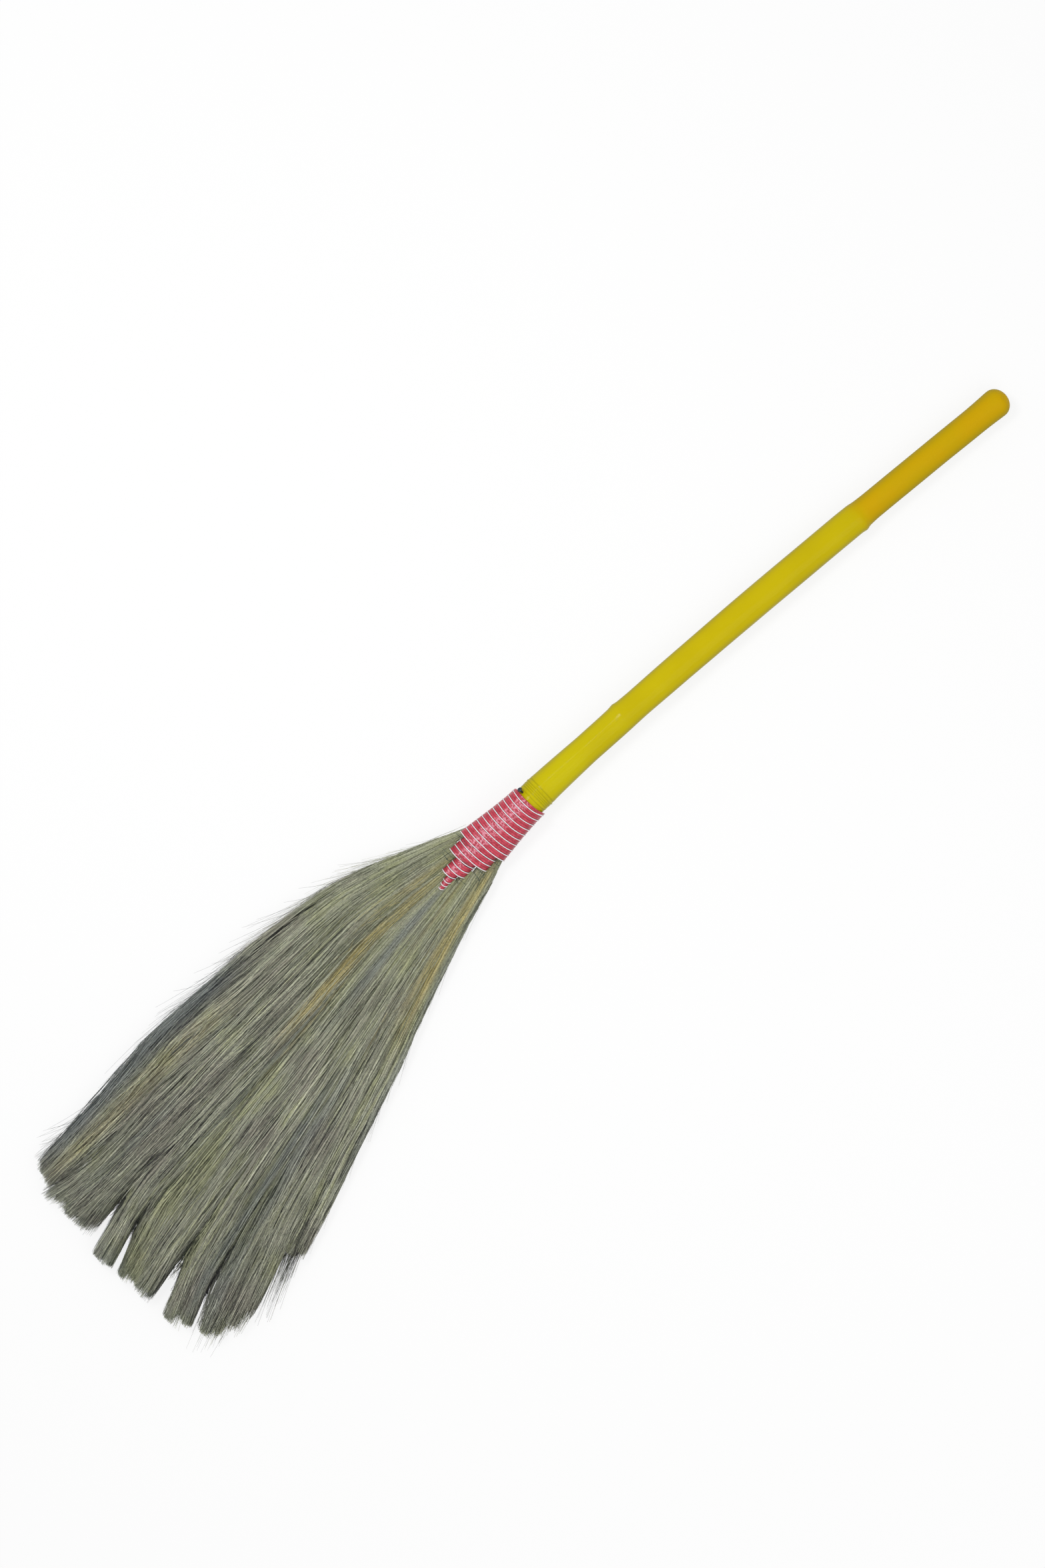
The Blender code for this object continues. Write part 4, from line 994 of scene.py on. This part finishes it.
    # some strands are dark all over: partly real dark stems, partly painted shade for the gaps between strands
    dark = calc("LESS_THAN", chance(20), times(given["Dark share"], span(start, 0.0, 0.25, 0.35, 1.0)))
    tone = times(span(chance(24), 0.0, 1.0, 0.22, 1.0, False), minus(1.0, dark))
    # painted shade: darker between the clumps
    clumpGapShade = times(times(inClump, inClump), span(along, 0.25, 0.8, 0.0, 0.45))
    tone = times(tone, minus(1.0, clumpGapShade))
    # painted shade: also darker along the notches
    notchEdgeShade = times(span(calc("ABSOLUTE", across), 0.72, 1.0, 0.0, 0.55), span(along, 0.72, 0.92))
    tone = times(tone, minus(1.0, notchEdgeShade))
    goldChance = span(chance(25), 0.1, 0.35)
    cloud = store(cloud, (
        ("tone", tone),
        ("clumpTone", chance(23, clump)),
        ("along", along),
        ("gold", times(streak("Gold"), goldChance)),
        ("slate", streak("Slate")),
    ))
    values = {"Points": cloud, "Curve Group ID": strand, "Weight": step}
    curves = add("GeometryNodePointsToCurves", values).outputs[0]
    profile = add("GeometryNodeCurvePrimitiveCircle", {"Resolution": 3, "Radius": 1.0}).outputs[0]
    taper = span(add("GeometryNodeSplineParameter").outputs[0], 0.5, 1.0, 1.0, 0.5)
    thickness = span(named("tone", "FLOAT"), 0.2, 1.0, 0.8, 1.2, False)
    radius = times(times(given["Radius"], taper), thickness)
    values = {"Curve": curves, "Profile Curve": profile, "Scale": radius, "Fill Caps": True}
    strands = add("GeometryNodeCurveToMesh", values).outputs[0]

    # a dark solid core, so that no light shows through the bundle; its dark colour is painted shade for the
    # bundle's inside
    values = {"Vertices": 14, "Side Segments": 40, "Radius": 1.0, "Depth": 1.0}
    tube = add("GeometryNodeMeshCylinder", values).outputs[0]
    spot = tools.split(add("GeometryNodeInputPosition").outputs[0])
    coreAlong = times(plus(spot[2], 0.5), given["Core end"])
    place = placeAt(coreAlong, times(spot[0], 0.90), times(spot[1], 0.70))
    core = add("GeometryNodeSetPosition", {"Geometry": tube, "Position": place}).outputs[0]
    core = store(core, (("tone", 0.1), ("clumpTone", 0.5), ("along", 0.5), ("gold", 0.0), ("slate", 0.4)))
    values = {"Switch": calc("GREATER_THAN", given["Core"], 0.5), "True": core}
    chosen = add("GeometryNodeSwitch", values, input_type="GEOMETRY").outputs[0]
    both = add("GeometryNodeJoinGeometry")
    tree.links.new(strands, both.inputs[0])
    tree.links.new(chosen, both.inputs[0])
    whole = add("GeometryNodeSetShadeSmooth", {"Geometry": both.outputs[0]}).outputs[0]
    whole = add("GeometryNodeRealizeInstances", {"Geometry": whole}).outputs[0]
    whole = add("GeometryNodeSetMaterial", {"Geometry": whole, "Material": material}).outputs[0]
    add("NodeGroupOutput", {0: whole})
    return tree


def makeGrassMaterial():
    made, tools, shader = newMaterial("dry grass", Roughness=0.55, Specular_IOR_Level=0.12)
    calc, span = tools.calc, tools.span
    blend, plus = tools.blend, tools.plus
    place = tools.place()
    tone, clumpTone, along, gold, slate = (
        tools.attribute(name) for name in ("tone", "clumpTone", "along", "gold", "slate")
    )
    cloud = tools.mottle(place, 24.0, 2.0)
    # grey olive stems, from dark to pale, in greener and browner patches
    stem = blend(span(tone, 0.0, 1.0, smoothly=False), (0.045, 0.047, 0.047), (0.84, 0.86, 0.67))
    green = blend(tone, (0.05, 0.06, 0.038), (0.79, 0.81, 0.49))
    brown = blend(tone, (0.045, 0.040, 0.046), (0.64, 0.60, 0.50))
    mixed = plus(calc("MULTIPLY_ADD", clumpTone, 0.4, 0.05), cloud)
    stem = blend(span(mixed, 0.75, 1.0, 0.0, 0.85), stem, green)
    stem = blend(span(mixed, 0.72, 0.5, 0.0, 0.65), stem, brown)
    stem = blend(gold, stem, blend(tone, (0.24, 0.19, 0.07), (0.95, 0.80, 0.36)))
    stem = blend(span(along, 0.60, 0.05, 0.0, 0.38), stem, (0.22, 0.245, 0.125))
    stem = blend(span(along, 0.12, 0.0, 0.0, 0.3), stem, (0.34, 0.33, 0.15))
    stem = blend(slate, stem, blend(tone, (0.045, 0.055, 0.06), (0.38, 0.42, 0.43)))
    stem = blend(span(along, 0.94, 1.0, 0.0, 0.25), stem, (0.30, 0.36, 0.33))
    # each strand is paler and darker by turns
    fuzz = tools.mottle(place, 700.0, 3.0, 0.7)
    stem = blend(span(fuzz, 0.50, 0.36, 0.0, 0.42), stem, (0.055, 0.058, 0.05))
    stem = blend(span(fuzz, 0.56, 0.70, 0.0, 0.35), stem, (0.66, 0.66, 0.46))
    streak, normal = useGrain(tools, 0.05, 2200.0, 0.25)
    rough = span(streak, 0.3, 0.7, 0.45, 0.7, False)
    feed(tools, shader, Base_Color=stem, Roughness=rough, Normal=normal)
    return made


grassTree = makeGrassTree(makeGrassMaterial())


def growGrass(name, index, start, settings):
    # the tree's result as a plain mesh
    guide = bpy.data.objects.new(name + "Guide", makeGuide(index, start, name))
    bpy.context.scene.collection.objects.link(guide)
    grower = guide.modifiers.new("grass", "NODES")
    grower.node_group = grassTree
    sockets = (item for item in grassTree.interface.items_tree if item.in_out == "INPUT")
    keys = {item.name: item.identifier for item in sockets}
    for key, value in settings.items():
        grower[keys[key]] = value
    bpy.context.view_layer.update()
    graph = bpy.context.evaluated_depsgraph_get()
    grown = guide.evaluated_get(graph)
    mesh = bpy.data.meshes.new_from_object(grown, preserve_all_data_layers=True, depsgraph=graph)
    guide.modifiers.remove(grower)
    bpy.data.objects.remove(guide)
    mesh.name = name
    return mesh


def makeGrass():
    for index, bundle in enumerate(bundles):
        name = "grass" + bundle.key.title().replace("_", "")
        start = bundle.leaves - grass["rootUnder"]
        coreEnd = (min(bundle.tips) - grass["coreShort"] - start) / (grass["length"] / mm - start)
        common = {"Core end": coreEnd, "Clumps": round(bundle.columns * grass["clumpsPerColumn"])}
        for word, streak in (("Gold", bundle.gold), ("Slate", bundle.slate)):
            names = [word + ending for ending in (*streakInputs, "")]
            common.update(zip(names, streak))
        for number, (ending, kind) in enumerate(strandKinds):
            settings = {**common, **kind, "Seed": 10 + index + 50 * number}
            settings["Strands"] = bundle.columns * settings.pop("perColumn")
            mesh = growGrass(name + ending, index, start, settings)
            nodes = ["grass_bundle_" + bundle.key] if number == 0 else []
            newObject(name + ending, mesh, None, "dry_grass", *nodes)
        for number, (where, count, (low, high), splay, changes) in enumerate(strays):
            if where != index:
                continue
            settings = {**common, **strandKinds[1][1], **looseKind, **changes}
            settings.update({"Side low": low, "Side high": high, "Splay": splay, "Strands": count})
            settings["Seed"] = 300 + number
            del settings["perColumn"]
            mesh = growGrass(name + "Loose", index, start, settings)
            newObject("%sLoose%d" % (name, number), mesh, None, "dry_grass")


makeGrass()


# the stitches that hold each bundle where it leaves the winding
stitches = {
    "thread": 0.00017,  # radius
    "sides": 6,
    "ringDown": 0.0014,  # the loop round the bundle, past the place where it leaves the winding
    "loopPoints": 36, "loopRoom": 0.15, "loopSlant": 0.8,  # room and slant in mm
    "sink": 0.0009,  # how far the ends of a stitch go in
    # (x, y) mm of the stitches that show on top, for each bundle
    "paths": {
        "right_outer": (
            ((-50.1, 12.6), (-49.2, 10.4), (-48.7, 8.3)), ((-62.8, 10.4), (-65, 9.8), (-67.4, 8.7)),
            ((-49.5, 11.5), (-53, 13.5), (-55.5, 14.2)),
        ),
        "right_middle": (
            ((-68.1, 20.9), (-67, 20.4), (-65.9, 19.7)),
            ((-68.7, 18.9), (-69.6, 14), (-70.8, 9.3), (-74, 7.4), (-79.3, 5.8)),
            ((-63.3, 10.4), (-67, 10.0), (-70.8, 9.3)),
        ),
        "right_inner": (((-82.5, 25.0), (-83.2, 22.0), (-84.6, 19.5)),),
        "left_inner": (((-89.0, 33.0), (-90.6, 34.6), (-93.5, 37.2)),),
        "left_middle": (
            ((-75.3, 45.8), (-76.4, 42), (-76.9, 38.4), (-75.6, 36.4), (-73.3, 34.8)),
            ((-67.4, 35.5), (-68.6, 29), (-66.9, 21.7)),
        ),
        "left_outer": (
            ((-59.2, 51.3), (-59.6, 49), (-59.5, 46.7), (-58.6, 44.2), (-56.1, 42.0)),
            ((-56.9, 41.3), (-57.4, 36), (-54.9, 30.7)),
        ),
    },
    "knots": {"right_middle": (-70.8, 9.3), "left_middle": (-76.7, 39.5), "right_outer": (-49.6, 11.6)},
}


def sectionAt(index, down):
    return (float(v[0]) for v in bundleSection(index, [down]))


def broomTop(x, y):
    # the highest of the winding and the bundles at this place, in metres, or the nearest bundle's side
    down = neckX / mm - x
    found, beside = [], []
    if down < neck["length"] / mm:
        turn = (down * mm - winding["lead"] * winding["pitch"]) / winding["pitch"]
        low, high = ringSides(max(0, min(turn, winding["turns"])), down * mm)
        if low < y * mm < high:
            inside = abs(y * mm - (low + high) / 2) / ((high - low) / 2)
            room = dome(inside, neck["roundness"])
            found.append(neckMiddle(down * mm)[1] + room * neckHeight(down * mm) / 2 + 0.0006)
    for index, bundle in enumerate(bundles):
        right, left, floor, top, square = sectionAt(index, down)
        inside = abs(y - (right + left) / 2) / ((left - right) / 2)
        room = dome(min(inside, 0.97), square)
        height = ((floor + top) / 2 + room * (top - floor) / 2 + 0.35) * mm
        if down > bundle.leaves - grass["rootUnder"] and inside < 1:
            found.append(height)
        beside.append((inside, height))
    return max(found) if found else min(beside)[1]


def makeThreadMaterial():
    made, tools, shader = newMaterial("green thread", Roughness=0.7)
    fleck = tools.mottle(tools.place(), 1400.0, 2.0)
    colour = tools.blend(tools.span(fleck, 0.4, 0.65), (0.030, 0.055, 0.045), (0.10, 0.15, 0.12))
    feed(tools, shader, Base_Color=colour, Normal=tools.bump(fleck, 0.4, 0.0001))
    return made


def tieLoop(index, down):
    # the thread round one bundle, a little slanted
    right, left, floor, top, square = sectionAt(index, down)
    loop = []
    for i in range(stitches["loopPoints"]):
        a = 2 * math.pi * i / stitches["loopPoints"]
        c, s = rounded(a, square)
        across = c * ((left - right) / 2 + stitches["loopRoom"])
        up = s * ((top - floor) / 2 + stitches["loopRoom"])
        x = neckX / mm - down - stitches["loopSlant"] * math.sin(a + 0.6)
        loop.append(Vector((x, (left + right) / 2 + across, (floor + top) / 2 + up)) * mm)
    return loop


def stitchLine(path):
    # a stitch laid on the broom's top, with both ends sunk in
    line = []
    for x, y, _ in smoothPath([(x, y, 0) for x, y in path], 8):
        first, last = (bundleSection(index, [neckX / mm - x]) for index in (0, 6))
        y = min(max(y, float(first[0][0]) + 0.8), float(last[1][0]) - 0.8)
        line.append(Vector((x * mm, y * mm, broomTop(x, y))))
    line[0].z -= stitches["sink"]
    line[-1].z -= stitches["sink"]
    return line


def knotLine(x, y):
    z = broomTop(x, y)
    knot = []
    for t in np.linspace(0, 11, 40):
        flat = Vector((x + 0.38 * math.cos(t), y + 0.34 * math.sin(t * 1.5), 0)) * mm
        knot.append(flat + Vector((0, 0, z + 0.0002 + 0.0003 * math.sin(t * 2.3))))
    return knot


def makeStitches():
    material = makeThreadMaterial()
    radius, sides = stitches["thread"], stitches["sides"]
    for index, bundle in enumerate(bundles):
        key = bundle.key
        if key not in stitches["paths"]:
            continue
        loop = tieLoop(index, bundle.leaves + stitches["ringDown"] / mm)
        tubes = [(tubeRings(np.array(loop + loop[:1]), radius, sides)[:-1], True)]
        loose = [stitchLine(path) for path in stitches["paths"][key]]
        if key in stitches["knots"]:
            loose.append(knotLine(*stitches["knots"][key]))
        tubes += [(tubeRings(line, radius, sides), False) for line in loose]
        bm = bmesh.new()
        for number, (rings, closed) in enumerate(tubes):
            bm.from_mesh(ringMesh("%s%d" % (key, number), rings, closedAlong=closed))
        mesh = bpy.data.meshes.new("stitch_" + key)
        bm.to_mesh(mesh)
        bm.free()
        mesh.shade_smooth()
        newObject("stitch_" + key, mesh, material, "green_thread", "thread_tie_" + key)


makeStitches()


# the cane and the nail stay as the CAD made them
def makeBambooMaterial():
    made, tools, shader = newMaterial("bamboo", Roughness=0.6)
    streak, normal = useGrain(tools, 0.04, 500.0, 0.4)
    colour = tools.blend(streak, (0.62, 0.48, 0.24), (0.42, 0.30, 0.14))
    feed(tools, shader, Base_Color=colour, Normal=normal)
    return made


def makeSteelMaterial():
    made, tools, shader = newMaterial("dark steel", Metallic=0.7)
    place = tools.place()
    rust = tools.span(tools.mottle(place, 700.0, 3.0), 0.5, 0.7)
    colour = tools.blend(rust, (0.045, 0.055, 0.075), (0.12, 0.05, 0.03))
    bump = tools.bump(tools.mottle(place, 1500.0), 0.3, 0.0001)
    feed(tools, shader, Base_Color=colour, Roughness=tools.span(rust, 0, 1, 0.3, 0.7, False), Normal=bump)
    return made


for nodeName, finish in (("bamboo_cane", makeBambooMaterial()), ("steel_nail", makeSteelMaterial())):
    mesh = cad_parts[nodeName].data
    mesh.materials.clear()
    mesh.materials.append(finish)

print("carried-over pieces finished")
